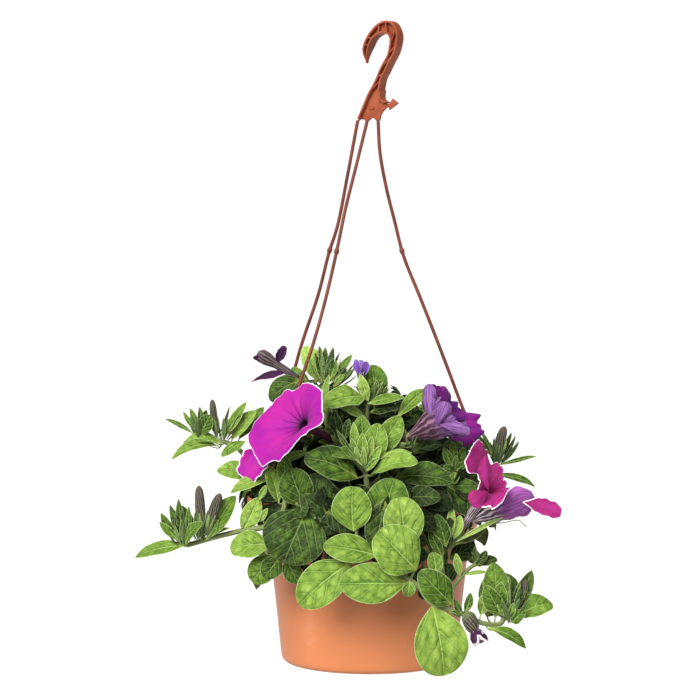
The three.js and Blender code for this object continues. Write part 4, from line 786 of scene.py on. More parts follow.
def leaf(piece, row, stems, slot, grid):
    """A leaf blade with puffed fields between sunken veins, and its stalk from the nearest stem.

    The stalk takes the material after the blade's. Without stems there is none."""
    name, base, _, width, _, arch, cup, tone = row
    start, end, length, run, up, side = blade_frame(row)
    dice = random.Random(f"{name} {base}")
    seed = dice.random()
    u = stations(grid[0])[:, None]
    v = columns(grid[1])[None, :]
    half = 0.5 * width * outline(u, width, length)
    across = half * v
    along = np.broadcast_to(u * length, across.shape)
    spacing = max(length / dice.uniform(3.7, 4.7), 2.6)
    # Puffed fields between the veins, flat at the margins and sunk along the midrib.
    phase = vein_phase(along, across, spacing, seed)
    field = (0.5 - 0.5 * np.cos(2 * math.pi * phase)) ** 0.8
    off_midrib = 1 - np.exp(-(across / (0.04 * width + 0.5)) ** 2)
    lumps = blisters(along, across, 0.62 * spacing, dice) * (1 - v**2)
    ends = np.sin(math.pi * u)  # 0 at both ends of the blade and 1 in its middle
    puff = (0.030 * width + 0.25) * (0.4 * field + 0.85 * lumps) * off_midrib
    puff = puff * (1 - np.abs(v) ** 4) * ends**0.5
    # This relief goes to the material, which paints light on the blister tops and shade in the hollows
    # between them.
    blister_top_light = (0.4 * field + 0.6 * lumps) * off_midrib
    puff = puff * dice.uniform(0.7, 1.3) - 0.012 * width * (1 - off_midrib) * ends
    # A slow wave of the margins.
    wave = dice.uniform(0.02, 0.045) * width * np.abs(v) ** 3 * ends**0.6
    wave = wave * np.sin(2 * math.pi * (u * dice.uniform(1.4, 2.4) + 0.5 * (v > 0) + dice.random()))
    # Cupped across, bowed along with the tip bent back, and a little sideways.
    keel = 0.55 * v**2 + 0.45 * np.sqrt(v**2 + 0.02)
    rise = cup * ends * keel
    bow = arch * 4 * u * (1 - u) - 0.05 * length * dice.uniform(0.2, 1.2) * smooth(0.7, 1, u) ** 2
    lean = length * dice.uniform(-0.03, 0.03) * ends
    height = bow + rise + wave + puff
    middle = start + (end - start) * u[..., None]
    surface = middle + side * (across + lean)[..., None] + up * height[..., None]
    thick = LEAF_HALF * (1 - np.abs(v) ** 10) * (0.6 + width / 90)
    thick = np.broadcast_to(thick, across.shape)[..., None]
    rim = half * (1 - np.abs(v)) + 0.02

    def values(under):
        return ring_values((along, across, rim), (spacing, seed, tone), (u, blister_top_light, under), across.shape)

    close_blade(piece, surface + up * thick, surface - up * thick, values(0.0), values(1.0), slot)
    if stems is not None:
        foot = nearest_on_stems(start, stems)
        thickness = 0.5 + width / 55
        bend = start + run * 0.03 * length - up * thickness * 0.5
        ahead = start + run * 0.22 * length + up * (arch * 0.55 - thickness * 0.55)
        route = [foot, bend, ahead] if np.linalg.norm(foot - start) > 1 else [start, ahead]
        tube(piece, route, (thickness, thickness * 0.35), 6, 3, seed, tone, slot=slot + 1)


def leafy_stem(piece, route, radius, pairs, size, tone, seed, spread=0.75, azimuth=None):
    """A stem with pairs of leaves crosswise to each other. With an azimuth they face that way."""
    dice = random.Random(seed)
    tube(piece, route, (radius, radius * 0.6), 8, 4, dice.random(), tone, slot=1)
    path = curve_through(route, 8)
    tangents, first, second = frames_along(path)
    stems = [[radius, [list(p) for p in path]]]
    turn = dice.uniform(0, 2 * math.pi)
    for k in range(pairs):
        share = 0.28 + 0.72 * k / max(pairs - 1, 1)
        i = min(int(share * (len(path) - 1)), len(path) - 1)
        length = size * (1 - 0.55 * share**2) * dice.uniform(0.85, 1.15)
        for flip in (0, math.pi):
            angle = turn + k * math.pi / 2 + flip + dice.uniform(-0.3, 0.3)
            out = math.cos(angle) * first[i] + math.sin(angle) * second[i]
            lift = 0.35 + 0.5 * share + dice.uniform(-0.15, 0.15)
            base = path[i] + out * radius
            faces = tangents[i] - out * 0.4
            if azimuth is not None:
                away = polar(1, math.radians(azimuth))
                level = unit(np.cross(away, (0, 0, 1)) * math.copysign(1, math.cos(flip)))
                out = unit(level + 0.15 * away + vec((0, 0, dice.uniform(-0.7, 0.5))))
                faces = away * 2 + vec((0, 0, dice.uniform(0.2, 1)))
            tip = base + length * unit(out * spread + tangents[i] * lift)
            row = [f"{seed}_{k}_{flip:.0f}", list(base), list(tip), length * dice.uniform(0.5, 0.66),
                   list(faces), length * 0.07, length * 0.08, tone + dice.uniform(-0.15, 0.15)]
            leaf(piece, row, stems, 0, (12, 7))


# ---------------------------------------------------------------- flowers and buds

TUBE_RADIUS = 3.2
LIMB_BULGE = 5  # how far the limb bows towards the mouth, halfway out
PETAL_HALF = 0.28  # half the thickness of a petal
LOBES = 5
AROUND, LIMB_ROWS = 180, 26  # points round a corolla, and rows across its limb
NO_MARGIN = 60.0  # distance from the petal's edge, where its pale margin isn't to show


def corolla(piece, flower):
    """A trumpet in one skin: up the outside of the tube and limb, and down inside the mouth."""
    start, mouth = (vec(p) for p in flower["tube"])
    axis = unit(mouth - start)
    first, second = across_frame(axis)
    rim = closed_curve_through(flower["rim"], AROUND)
    out = rim - mouth
    out -= np.outer(out @ axis, axis)
    spokes = out / np.linalg.norm(out, axis=1)[:, None]
    angle = np.arctan2(spokes @ second, spokes @ first)
    inner = mouth + spokes * flower["throat"]
    reach = np.linalg.norm(rim - inner, axis=1)
    dice = random.Random(str(flower["rim"][0]))
    turns = [dice.uniform(0, 6.28) for _ in range(4)]
    rings, marks = [], []

    def mark(s, side, tube_share=None):
        far = reach * s if tube_share is None else (tube_share - 1) * np.linalg.norm(mouth - start)
        left = reach * (1 - s) if tube_share is None else NO_MARGIN
        share = s if tube_share is None else tube_share - 1
        marks.append(ring_values((far, left, turns[0]), (np.cos(angle), np.sin(angle), side),
                                 (share, 0, 0), (AROUND,)))

    def limb(s, lift, side):
        flat = inner + (rim - inner) * s
        lobe = np.cos(LOBES * angle + turns[1])
        crease = np.cos(3 * angle + turns[3]) + 0.6 * np.cos(8 * angle + turns[2])
        wave = s**1.5 * flower["folds"] * (0.6 * lobe + 0.5 * crease)
        wave = wave + 0.3 * np.cos(3 * LOBES * angle + turns[1]) * math.sin(math.pi * s)
        frill = np.sin(13 * angle + turns[2]) + 0.7 * np.sin(23 * angle + turns[3])
        frill = flower["ruffle"] * s**5 * frill
        pucker = flower["ruffle"] * 0.35 * s**3 * np.sin(31 * angle + turns[0] + 4 * s)
        height = LIMB_BULGE * 4 * s * (1 - s) * 0.9 + wave + frill + pucker
        rings.append(flat + np.outer(height + lift, axis))
        mark(s, side)

    def throat(share, radius, lift, side):
        centre = start + (mouth - start) * share
        ribs = 1 + 0.05 * np.cos(LOBES * angle) + 0.025 * np.cos(2 * LOBES * angle)
        rings.append(centre + spokes * (radius * ribs + lift)[:, None])
        mark(0, side, share)

    def tube_radius(share):
        flare = smooth(flower["flare"], 1, share) ** 1.5
        return TUBE_RADIUS * (1 + 0.25 * share) + (flower["throat"] - TUBE_RADIUS * 1.25) * flare

    # Up the outside to the rim, and back down the inside to halfway down the tube.
    for share in np.linspace(0, 0.99, 16):
        throat(share, tube_radius(share), 0, 1)
    for s in np.linspace(0.02, 0.985, LIMB_ROWS):
        limb(s, -2 * PETAL_HALF * (1 - s**12), 1)
    limb(1, -PETAL_HALF, 0.5)
    for s in np.linspace(0.985, 0.02, LIMB_ROWS):
        limb(s, 0, 0)
    for share in np.linspace(0.99, 0.5, 9):
        throat(share, tube_radius(share), -2 * PETAL_HALF, 0)
    loft(piece, np.array(rings), np.array(marks))


def petal(piece, row, grid, ruffle=0.1, slot=0):
    """A free lobe: a thin wavy blade, without a leaf's veins."""
    name, base, _, width, _, arch, cup, first_share = row
    start, end, length, _, up, side = blade_frame(row)
    dice = random.Random(f"{name} {base}")
    seed = dice.uniform(0, 9)
    u = stations(grid[0])[:, None]
    v = columns(grid[1])[None, :]
    scallop = 1 + 0.06 * np.sin(11 * u + seed) + 0.055 * np.sin(27 * u + 2 * seed + 3 * np.sign(v))
    half = 0.5 * width * outline(u**1.35, width, length) ** 0.7 * scallop
    across = half * v
    wave = ruffle * width * np.abs(v) ** 2.5 * np.sin(9 * u + 2.4 * (v > 0) + seed)
    fold = 0.02 * width * np.sin(7 * v + 3 * u) * np.sin(math.pi * u)
    height = arch * 4 * u * (1 - u) + cup * np.sin(math.pi * u) * v**2 + wave * u + fold
    middle = start + (end - start) * u[..., None]
    surface = middle + side * across[..., None] + up * height[..., None]
    thick = np.broadcast_to(PETAL_HALF * (1 - np.abs(v) ** 10), across.shape)[..., None]
    rim = np.minimum(half * (1 - np.abs(v)), (1 - u) * length) + 0.0 * v
    if name.startswith("flap"):
        rim = rim + NO_MARGIN  # a lobe folded over, so that its pale edge is out of sight

    def values(under):
        return ring_values((u * length, rim, seed), (np.cos(1.3 * v), np.sin(1.3 * v), under),
                           (first_share + (1 - first_share) * u, 0, 0), across.shape)

    close_blade(piece, surface + up * thick, surface - up * thick, values(0.0), values(1.0), slot)


def bezier(base, middle, tip, share):
    """Points of the curve from base to tip that leans towards middle."""
    share = np.asarray(share, float)[:, None]
    return vec(base) * (1 - share) ** 2 + 2 * vec(middle) * share * (1 - share) + vec(tip) * share**2


def rings_round(path, size, angle):
    """Rings of points round a line, with a row of sizes for each of its points."""
    _, first, second = frames_along(path)
    return path[:, None] + size[..., None] * (np.cos(angle)[..., None] * first[:, None]
                                              + np.sin(angle)[..., None] * second[:, None])


def spindle(piece, path, radii, sides, ridges, depth, seed=0.0, tone=0.5, slot=0, twist=0.0):
    """A closed bud or tube with lengthwise ridges round a bent line."""
    share = np.linspace(0, 1, len(path))[:, None]
    angle = np.arange(sides)[None, :] * 2 * math.pi / sides
    ridge = 1 + depth * np.cos(ridges * angle + twist * share)
    size = np.asarray(radii)[:, None] * ridge
    steps = np.linalg.norm(np.diff(path, axis=0), axis=1)
    along = np.concatenate([[0], np.cumsum(steps)])[:, None]
    values = ring_values((along, np.cos(angle), np.sin(angle)),
                         (np.asarray(radii)[:, None], seed, tone), (share, 0, 0), size.shape)
    loft(piece, rings_round(path, size, angle), values, slot)


SEPALS = 5


def sepals(piece, foot, axis, length, width, spread, seed, tone, slot):
    """Narrow green blades round the foot of a flower or a bud."""
    first, second = across_frame(axis)
    dice = random.Random(seed)
    turn = dice.uniform(0, 1.2)
    for i in range(SEPALS):
        angle = 2 * math.pi * i / SEPALS + turn
        out = math.cos(angle) * first + math.sin(angle) * second
        reach = length * dice.uniform(0.85, 1.15)
        base = foot + out * 1.3 + axis
        tip = foot + axis * reach + out * (1.5 + spread * reach * dice.uniform(0.8, 1.2))
        faces = axis * 0.6 - out
        row = [f"{seed}_{i}", list(base), list(tip), width, list(faces), -0.1 * length, 0.18 * width, tone]
        leaf(piece, row, None, slot, (16, 7))


def calyx(name, flower):
    """The green cup under an open flower, with its sepals."""
    piece = Piece(name)
    (base, length), (_, throat) = flower["calyx"], flower["tube"]
    foot = vec(base)
    axis = unit(vec(throat) - foot)
    path = foot + np.outer(np.linspace(-1, 5.5, 8), axis)
    radii = [0.9, 1.7, 2.4, 2.9, 3.3, 3.7, 4.0, 3.7]
    spindle(piece, path, radii, 20, 5, 0.08, 0.3, 0.75, slot=1)
    width, spread = flower["sepals"]
    sepals(piece, foot + axis * 1.5, axis, 5 + length, width, spread, name, 0.85, 0)
    for route in flower["threads"]:
        tube(piece, route, 0.45, 6, 6, 0.2, 0.1, slot=1)
    if name == "flower_pink_calyx":
        for row in BROAD_SEPALS:
            leaf(piece, row, None, 0, (20, 9))
    return piece


def striped_tube(piece, path, radii):
    """The closed tube of a half-open flower, with the values that the petals' material reads."""
    sides = 24
    angle = np.arange(sides)[None, :] * 2 * math.pi / sides
    size = radii[:, None] * (1 + 0.1 * np.cos(LOBES * angle))
    along = np.linspace(-40, -4, len(path))[:, None]
    share = np.linspace(-1, -0.15, len(path))[:, None]
    values = ring_values((along, NO_MARGIN, 0.3), (np.cos(angle), np.sin(angle), 1.0), (share, 0, 0),
                         size.shape)
    loft(piece, rings_round(path, size, angle), values)


def half_flower(name, flower):
    """A flower that is only partly open or has withered: a closed tube and some petals."""
    piece = Piece(name)
    base, tip, radius = flower["tube"]
    shares = np.linspace(0, 1, 14)
    path = vec(base) + np.outer(shares, vec(tip) - vec(base))
    radii = radius * np.interp(shares, *flower["swell"])
    striped_tube(piece, path, radii)
    for row in flower["petals"]:
        petal(piece, row, (22, 13))
    return piece


BUD_SHARES = [0, 0.06, 0.15, 0.3, 0.45, 0.6, 0.75, 0.86, 0.94, 1]
BUD_RADII = [0.3, 0.55, 0.78, 0.95, 1, 0.97, 0.9, 0.78, 0.6, 0.22]


def bud(name, row):
    """A closed, ridged and twisted bud in its calyx, on a short stalk."""
    shoot, base, middle, tip, radius = row
    piece = Piece(name)
    foot = nearest_on_stems(vec(base), SHOOTS[shoot]["stems"])
    shares = np.linspace(0, 1, 26)
    path = bezier(base, middle, tip, shares)
    radii = radius * np.interp(shares, BUD_SHARES, BUD_RADII)
    seed = random.Random(name).random()
    spindle(piece, path, radii, 30, 5, 0.09, seed, 0.4, 0, twist=1.6)
    joint = list(bezier(base, middle, tip, [0.12])[0])
    tube(piece, [list(foot), joint], (1.3, 1.7), 8, 4, seed, 0.55, slot=2)
    axis = unit(path[6] - path[0])
    length = np.linalg.norm(vec(tip) - vec(base))
    sepals(piece, path[1], axis, 0.5 * length, radius * 0.62, 0.14, name, 0.6, 1)
    return piece


CURLS = 7


def curled_tip(piece, row):
    """The petals that start to unfold at the end of the hanging bud."""
    _, _, middle, tip, _ = row
    axis = unit(vec(tip) - vec(middle))
    first, second = across_frame(axis)
    for k in range(CURLS):
        angle = k * 2 * math.pi / CURLS + 0.4
        out = math.cos(angle) * first + math.sin(angle) * second
        base_point = vec(tip) - axis * 4 + out * 1.5
        end = vec(tip) + axis * (10 + 3 * math.sin(3 * k)) + out * (5.5 + 1.5 * math.cos(5 * k))
        blade = [f"curl{k}", list(base_point), list(end), 11, list(out - 0.3 * axis), 2.5, -3, 0.3]
        petal(piece, blade, (14, 9), 0.08, slot=3)


# ---------------------------------------------------------------- shoots of the far side

GOLDEN_ANGLE = 2.39996  # between one leaf and the next, in radians


def far_shoot(azimuth, reach, drop, count):
    """A stem that crosses the rim and trails, with leaves to alternate sides, as in the CAD model."""
    angle = math.radians(azimuth)
    out = polar(1, angle)
    aside = vec((-out[1], out[0], 0))

    def at(r, z, s=0):
        point = out * r + aside * s
        return [point[0], point[1], z]

    route = [at(26, 130), at(58, 158), at(92, 178, 4), at(120, 172, 6), at(reach - 4, 148, 4),
             at(reach, 122), at(reach + 4, drop, -5)]
    crown = [at(58, 158), at(62, 190, -6), at(66, 222, -10)]
    rows = []
    trail = curve_through(route, 60)
    for i in range(count):
        share = 0.3 + 0.7 * i / (count - 1)
        base = trail[round(share * (len(trail) - 1))]
        turn = 1 if i % 2 else -1
        size = 46 - 16 * share + 6 * math.sin(GOLDEN_ANGLE * i + azimuth)
        tip = base + aside * turn * size * (0.8 - 0.3 * share) + out * size * (0.5 - 0.3 * share)
        tip[2] = max(tip[2] + size * (0.35 - 0.75 * share), 8)
        faces = out * 8 + vec((0, 0, 7 - 6 * share))
        rows.append([f"far{azimuth}_{i}", list(base), list(tip), size * 0.7, list(faces), 4, 3, 0.6])
    for i in range(4):
        turn = GOLDEN_ANGLE * i + angle
        size = 34 - 2 * i
        base = vec(crown[2]) + vec((0, 0, 6 * i - 18))
        tip = base + vec((math.cos(turn) * size * 0.7, math.sin(turn) * size * 0.7, 9 + 3 * i))
        faces = [-math.cos(turn) * 3, -math.sin(turn) * 3, 8]
        rows.append([f"crown{azimuth}_{i}", list(base), list(tip), size * 0.55, faces, 4, 3, 0.7])
    return {"stems": [[2.8, route], [2, crown]], "large": [], "small": rows}


for order, numbers in enumerate(FAR_SHOOTS, 1):
    SHOOTS[f"shoot_far_{order}"] = far_shoot(*numbers)


# Leafy side stems that fill the bush, [shoot that carries them, foot, tip, pairs, size, lightness].
# They start in the soil, at FILLER_FOOT, and stay behind the leaves of the tables. Their low
# lightness is painted shade: they stand for the dark inside of the bush.
FILLER_FOOT = 137
FILLERS = [
    ["shoot_front", [10, -40], [14, -96, 172], 5, 41, 0.13],
    ["shoot_front", [30, -36], [52, -92, 168], 5, 41, 0.13],
    ["shoot_front", [-8, -36], [-30, -92, 170], 5, 43, 0.13],
    ["shoot_rosette", [0, -26], [4, -62, 214], 6, 43, 0.18],
    ["shoot_rosette", [20, -20], [44, -56, 212], 6, 43, 0.18],
    ["shoot_left", [-30, -30], [-62, -78, 176], 6, 43, 0.18],
    ["shoot_left", [-40, -14], [-84, -52, 186], 6, 43, 0.23],
    ["shoot_lower_left", [-44, -30], [-88, -74, 158], 5, 41, 0.18],
    ["shoot_upper_left", [-30, 0], [-66, -24, 228], 7, 45, 0.28],
    ["shoot_upper_left", [-46, 8], [-92, 6, 206], 7, 45, 0.28],
    ["shoot_top_left", [-16, 0], [-34, -18, 250], 7, 43, 0.33],
    ["shoot_top_left", [-22, 16], [-46, 24, 244], 7, 45, 0.38],
    ["shoot_top", [6, 6], [4, 8, 256], 8, 45, 0.38],
    ["shoot_top", [12, -10], [24, -28, 240], 7, 43, 0.28],
    ["shoot_right_upper", [30, 6], [54, 2, 232], 7, 45, 0.33],
    ["shoot_right_upper", [44, -12], [76, -34, 204], 6, 43, 0.23],
    ["shoot_right_bud", [46, 10], [88, 0, 200], 6, 43, 0.23],
    ["shoot_right_lower", [44, -28], [78, -70, 172], 6, 43, 0.18],
    ["shoot_right_lower", [52, -10], [98, -30, 170], 6, 43, 0.18],
    ["shoot_far_1", [48, 18], [88, 30, 204], 7, 47, 0.43],
    ["shoot_far_1", [36, 22], [62, 38, 230], 7, 47, 0.48],
    ["shoot_far_2", [34, 40], [60, 72, 206], 7, 47, 0.43],
    ["shoot_far_2", [22, 30], [34, 50, 240], 7, 47, 0.48],
    ["shoot_far_3", [6, 50], [10, 94, 204], 7, 47, 0.43],
    ["shoot_far_3", [0, 32], [-4, 56, 246], 7, 47, 0.48],
    ["shoot_far_4", [-22, 44], [-40, 82, 206], 7, 47, 0.43],
    ["shoot_far_4", [-26, 30], [-42, 54, 236], 7, 47, 0.48],
    ["shoot_far_5", [-46, 24], [-84, 44, 204], 7, 47, 0.43],
    ["shoot_far_5", [-50, 10], [-96, 24, 190], 6, 45, 0.38],
    ["shoot_rosette", [-4, -16], [-14, -46, 228], 7, 42, 0.1],
    ["shoot_top", [2, -6], [6, -16, 240], 7, 44, 0.1],
    ["shoot_top", [-10, -8], [-20, -20, 234], 7, 44, 0.1],
    ["shoot_top_left", [-14, -4], [-45, -20, 262], 7, 36, 0.4],
    ["shoot_right_upper", [36, -10], [68, -30, 222], 6, 42, 0.1],
    ["shoot_top", [14, 8], [30, 14, 244], 7, 44, 0.2],
    ["shoot_left", [-20, -22], [-36, -60, 196], 6, 42, 0.1],
    ["shoot_rosette", [12, -30], [26, -76, 190], 6, 42, 0.1],
]

# Short side stems that cross the rim and hide the collar, [shoot that carries them, azimuth,
# reach, lowest point, pairs, size, lightness]. The near-black ones at the front are painted
# shade: dark leaves that stand for the shadow under the bush.
SKIRTS = [
    ["shoot_left", -130, 118, 110, 6, 38, 0.1],
    ["shoot_front", -120, 116, 106, 6, 38, 0.05],
    ["shoot_front", -110, 117, 108, 6, 38, 0.1],
    ["shoot_front", -101, 115, 106, 6, 36, 0.05],
    ["shoot_front", -92, 116, 108, 6, 36, 0.1],
    ["shoot_front", -83, 115, 104, 6, 36, 0.05],
    ["shoot_front", -74, 117, 106, 6, 38, 0.1],
    ["shoot_right_lower", -66, 115, 104, 6, 38, 0.05],
    ["shoot_right_lower", -36, 112, 134, 4, 26, 0.1],
    ["shoot_right_bud", -14, 112, 140, 4, 30, 0.2],
    ["shoot_right_bud", 1, 114, 134, 4, 28, 0.3],
    ["shoot_right_bud", 16, 118, 130, 5, 34, 0.35],
    ["shoot_far_1", 48, 124, 104, 6, 40, 0.5],
    ["shoot_far_2", 73, 126, 96, 6, 40, 0.5],
    ["shoot_far_3", 99, 126, 100, 6, 40, 0.5],
    ["shoot_far_4", 125, 126, 98, 6, 40, 0.5],
    ["shoot_far_5", 163, 116, 130, 5, 36, 0.4],
    ["shoot_upper_left", 179, 112, 140, 4, 26, 0.3],
]


def skirt_route(azimuth, reach, low):
    """Out of the soil, over the rim and down outside it."""
    places = [(62, 138), (92, 166), (reach - 3, 162), (reach, 0.5 * (low + 158)), (reach + 2, low)]
    return [polar(r, math.radians(azimuth), z) for r, z in places]


def tuft(piece, foot, axis, count, length, tone):
    """Narrow young leaves that stand in a close spiral at a growing tip."""
    dice = random.Random(f"{foot}")
    axis = unit(vec(axis))
    first, second = across_frame(axis)
    for i in range(count):
        angle = GOLDEN_ANGLE * i + dice.uniform(-0.3, 0.3)
        out = math.cos(angle) * first + math.sin(angle) * second
        spread = 0.12 + 0.6 * (i / count) ** 1.3
        reach = length * (0.7 + 0.3 * dice.random())
        base = vec(foot) + out * 1.2 - axis * i * 0.5
        tip = base + reach * unit(axis + out * spread)
        row = [f"tuft{i}", list(base), list(tip), reach * dice.uniform(0.17, 0.32), list(axis * 0.4 - out),
               -0.06 * length, 0.03 * length, tone + dice.uniform(-0.25, 0.25)]
        leaf(piece, row, None, 0, (12, 5))


def shoot_piece(name):
    """A shoot's stems and its small leaves, with the side stems that fill the bush behind them."""
    piece = Piece(name)
    seed = random.Random(name).random()
    stems = SHOOTS[name]["stems"]
    for radius, route in stems:
        tube(piece, route, (radius, radius * 0.75), 12, 6, seed, 0.5, slot=1)
    for row in SHOOTS[name]["small"]:
        fine = (14, 7) if row[3] < 8 or name.startswith("shoot_far") else (22, 11)
        leaf(piece, row, stems, 0, fine)
    for order, (owner, (x, y), tip, pairs, size, tone) in enumerate(FILLERS):
        if owner == name:
            bend = [x + 0.35 * (tip[0] - x), y + 0.35 * (tip[1] - y),
                    FILLER_FOOT + 0.6 * (tip[2] - FILLER_FOOT)]
            route = [[x, y, FILLER_FOOT], bend, tip]
            # Painted shade: filler leaves are made darker still than their listed lightness.
            leafy_stem(piece, route, 1.6, pairs, size, tone - 0.08, f"filler{order}")
    for owner, foot, axis, count, length, tone in TUFTS:
        if owner == name:
            tuft(piece, foot, axis, count, length, tone)
    for owner, azimuth, reach, low, pairs, size, tone in SKIRTS:
        if owner == name:
            route = skirt_route(azimuth, reach, low)
            leafy_stem(piece, route, 1.5, pairs, size, tone, f"skirt{azimuth}", 0.8, azimuth)
    return piece


# ---------------------------------------------------------------- pot, soil and hanger


def turned(piece, profile, sides, wobble=None):
    """A closed surface of revolution from a profile that starts and ends on the axis."""
    rows = profile[1:-1]
    angle = np.arange(sides) * 2 * math.pi / sides
    rings = np.array([np.stack([r * np.cos(angle), r * np.sin(angle), np.full(sides, z)], 1)
                      for r, z in rows], float)
    if wobble:
        rings = wobble(rings)
    loft(piece, rings)


def eased(profile, steps):
    """The profile with its corners and long spans filled in by a smooth curve."""
    flat = [[r, 0, z] for r, z in profile]
    return [[max(x, 0), z] for x, _, z in curve_through(flat, steps)]


def pot_piece():
    """The pot's thin shell, with the drain holes cut through its base."""
    piece = Piece("pot")
    turned(piece, eased([*POT_OUTSIDE, *POT_INSIDE], 3), 160)
    made = piece.make([materials["pot"]], "pot_plastic")
    drills = Piece("drills")
    for k in range(DRAINS["count"]):
        angle = 2 * math.pi * k / DRAINS["count"]
        route = [polar(DRAINS["circle"], angle, -9), polar(DRAINS["circle"], angle, 9)]
        tube(drills, route, DRAINS["radius"], 40, 1)
    cutter = bpy.data.objects.new("drills", bpy.data.meshes.new("drills"))
    points = np.vstack(drills.points) * MM
    faces = [list(map(int, f)) for q, t in drills.faces for group in (q, t) for f in group]
    cutter.data.from_pydata(points.tolist(), [], faces)
    bpy.context.scene.collection.objects.link(cutter)
    cut = made.modifiers.new("drains", "BOOLEAN")
    cut.operation = "DIFFERENCE"
    cut.solver = "EXACT"
    cut.object = cutter
    view = bpy.context.evaluated_depsgraph_get()
    drilled = bpy.data.meshes.new_from_object(made.evaluated_get(view))
    made.modifiers.clear()
    made.data = drilled
    bpy.data.objects.remove(cutter)


CRUMBS = 200
# Soil from the centre of its underside to the middle of its top, [radius, height].
SOIL_PROFILE = [
    [0, 3.4], [72, 3.6], [79.4, 7.4], [81.6, 16], [84.4, 42], [89.5, 90], [91.6, 112], [94.2, 121],
    [99.4, 132], [100.2, 134.6], [97, 136], [88, 136.2], [76, 137], [64, 137.8], [52, 138.6],
    [40, 139], [28, 139.4], [16, 139.8], [6, 140], [0, 140],
]


def soil_piece():
    """Peat with a lumpy top, and loose crumbs on it."""
    piece = Piece("potting_soil")

    def lumpy(rings):
        for point in rings.reshape(-1, 3):
            if point[2] > 133 and math.hypot(point[0], point[1]) < 99:
                point[2] += 1.6 * noise.fractal(Vector(point) * 0.09, 1.0, 2.0, 4) - 0.4
        return rings

    turned(piece, eased(SOIL_PROFILE, 4), 120, lumpy)
    dice = random.Random("crumbs")
    for _ in range(CRUMBS):
        r, angle = 96 * math.sqrt(dice.random()), dice.uniform(0, 2 * math.pi)
        size = dice.uniform(0.9, 2.6)
        centre = polar(r, angle, 138.6 - 0.02 * r + size * 0.2)
        path = centre + np.outer(np.linspace(-1, 1, 6), unit([dice.gauss(0, 1) for _ in range(3)])) * size
        radii = size * np.array([0.35, 0.8, 1, 0.95, 0.7, 0.3]) * dice.uniform(0.7, 1.1)
        spindle(piece, path, radii, 7, 3, 0.18, dice.random(), 0.5)
    return piece


def hook_place(points):
    """Points of the flat hook, (across, height, depth), in the model's frame."""
    points = np.asarray(points, float)
    cos, sin = math.cos(HOOK["yaw"]), math.sin(HOOK["yaw"])
    return np.stack([HOOK["axis_x"] + cos * points[:, 0] - sin * points[:, 2],
                     sin * points[:, 0] + cos * points[:, 2], points[:, 1]], 1)


def smooth_line(points, per_span):
    """A smooth line of the hook through points of it."""
    return [[x, z] for x, _, z in curve_through([[s, 0, z] for s, z in points], per_span)]


def runs(line):
    """The way along a line of the hook at each of its points, and the way to its right."""
    run = np.gradient(line, axis=0)
    run /= np.linalg.norm(run, axis=1)[:, None]
    return run, np.stack([run[:, 1], -run[:, 0]], 1)


BAR_SIDES = 20
TAPER = 0.12  # share of a bar's length over which an end tapers


def bar(piece, line, width, depth, inset, tapers=(1.0, 1.0), slim=None):
    """A rounded bar along a line of the hook, as far to its right as inset says, with its width at
    both ends as a share of the whole. slim gives the stretch over which its depth grows."""
    flat = np.array(line, float)
    run, right = runs(flat)
    share = np.linspace(0, 1, len(flat))[:, None]
    half = 0.5 * width * (tapers[0] + (1 - tapers[0]) * smooth(0, TAPER, share))
    half = half * (tapers[1] + (1 - tapers[1]) * smooth(1, 1 - TAPER, share))
    middle = flat + right * (inset + half)
    deeper = np.ones(len(flat))
    if slim is not None:
        deeper = 0.2 + 0.8 * np.clip((share[:, 0] - slim[0]) / (slim[1] - slim[0]), 0, 1) ** 0.8
    angle = np.arange(BAR_SIDES) * 2 * math.pi / BAR_SIDES
    square = 0.35  # power that squares the section of the bar
    across = np.sign(np.cos(angle)) * np.abs(np.cos(angle)) ** square
    deep = np.sign(np.sin(angle)) * np.abs(np.sin(angle)) ** square
    rings = []
    order = [0, *range(len(flat)), len(flat) - 1]
    for k, i in enumerate(order):
        scale = 0.8 if k in (0, len(order) - 1) else 1.0
        push = -0.3 if k == 0 else 0.3 if k == len(order) - 1 else 0.0
        spot = middle[i] + run[i] * push
        side = spot + np.outer(across * half[i] * scale, right[i])
        rings.append(hook_place(np.column_stack([side, deep * depth / 2 * scale * deeper[i]])))
    loft(piece, np.array(rings))


def shifted(line, amount):
    """A line of the hook moved to its own right."""
    flat = np.array(line, float)
    return (flat + amount * runs(flat)[1]).tolist()


def hook_web():
    """The flat web, barb and necks in one plate, with its edges slightly rounded."""
    outer = shifted(smooth_line(HOOK_OUTER, 3), 0.7)
    inner = shifted(smooth_line(HOOK_INNER, 3), -0.7)
    outline_points = [*outer, *HOOK_BARB, *smooth_line(HOOK_ARCHES, 3), HOOK_CORNER, *inner[:0:-1]]
    shape = bmesh.new()
    half = HOOK["web"] / 2
    corners = [shape.verts.new((s, z, -half)) for s, z in outline_points]
    face = shape.faces.new(corners)
    grown = bmesh.ops.extrude_face_region(shape, geom=[face])["geom"]
    raised = [part for part in grown if isinstance(part, bmesh.types.BMVert)]
    bmesh.ops.translate(shape, verts=raised, vec=(0, 0, HOOK["web"]))
    bmesh.ops.recalc_face_normals(shape, faces=shape.faces)
    flat = [edge for edge in shape.edges if abs(edge.verts[0].co.z - edge.verts[1].co.z) < 1e-6]
    bmesh.ops.bevel(shape, geom=flat, offset=0.45, segments=2, affect="EDGES", profile=0.6)
    bmesh.ops.triangulate(shape, faces=[face for face in shape.faces if len(face.verts) > 4])
    points = hook_place([tuple(v.co) for v in shape.verts])
    # Sorted, because the triangulation gives its faces in another order in each run.
    faces = sorted([v.index for v in face.verts] for face in shape.faces)
    shape.free()
    return points, faces


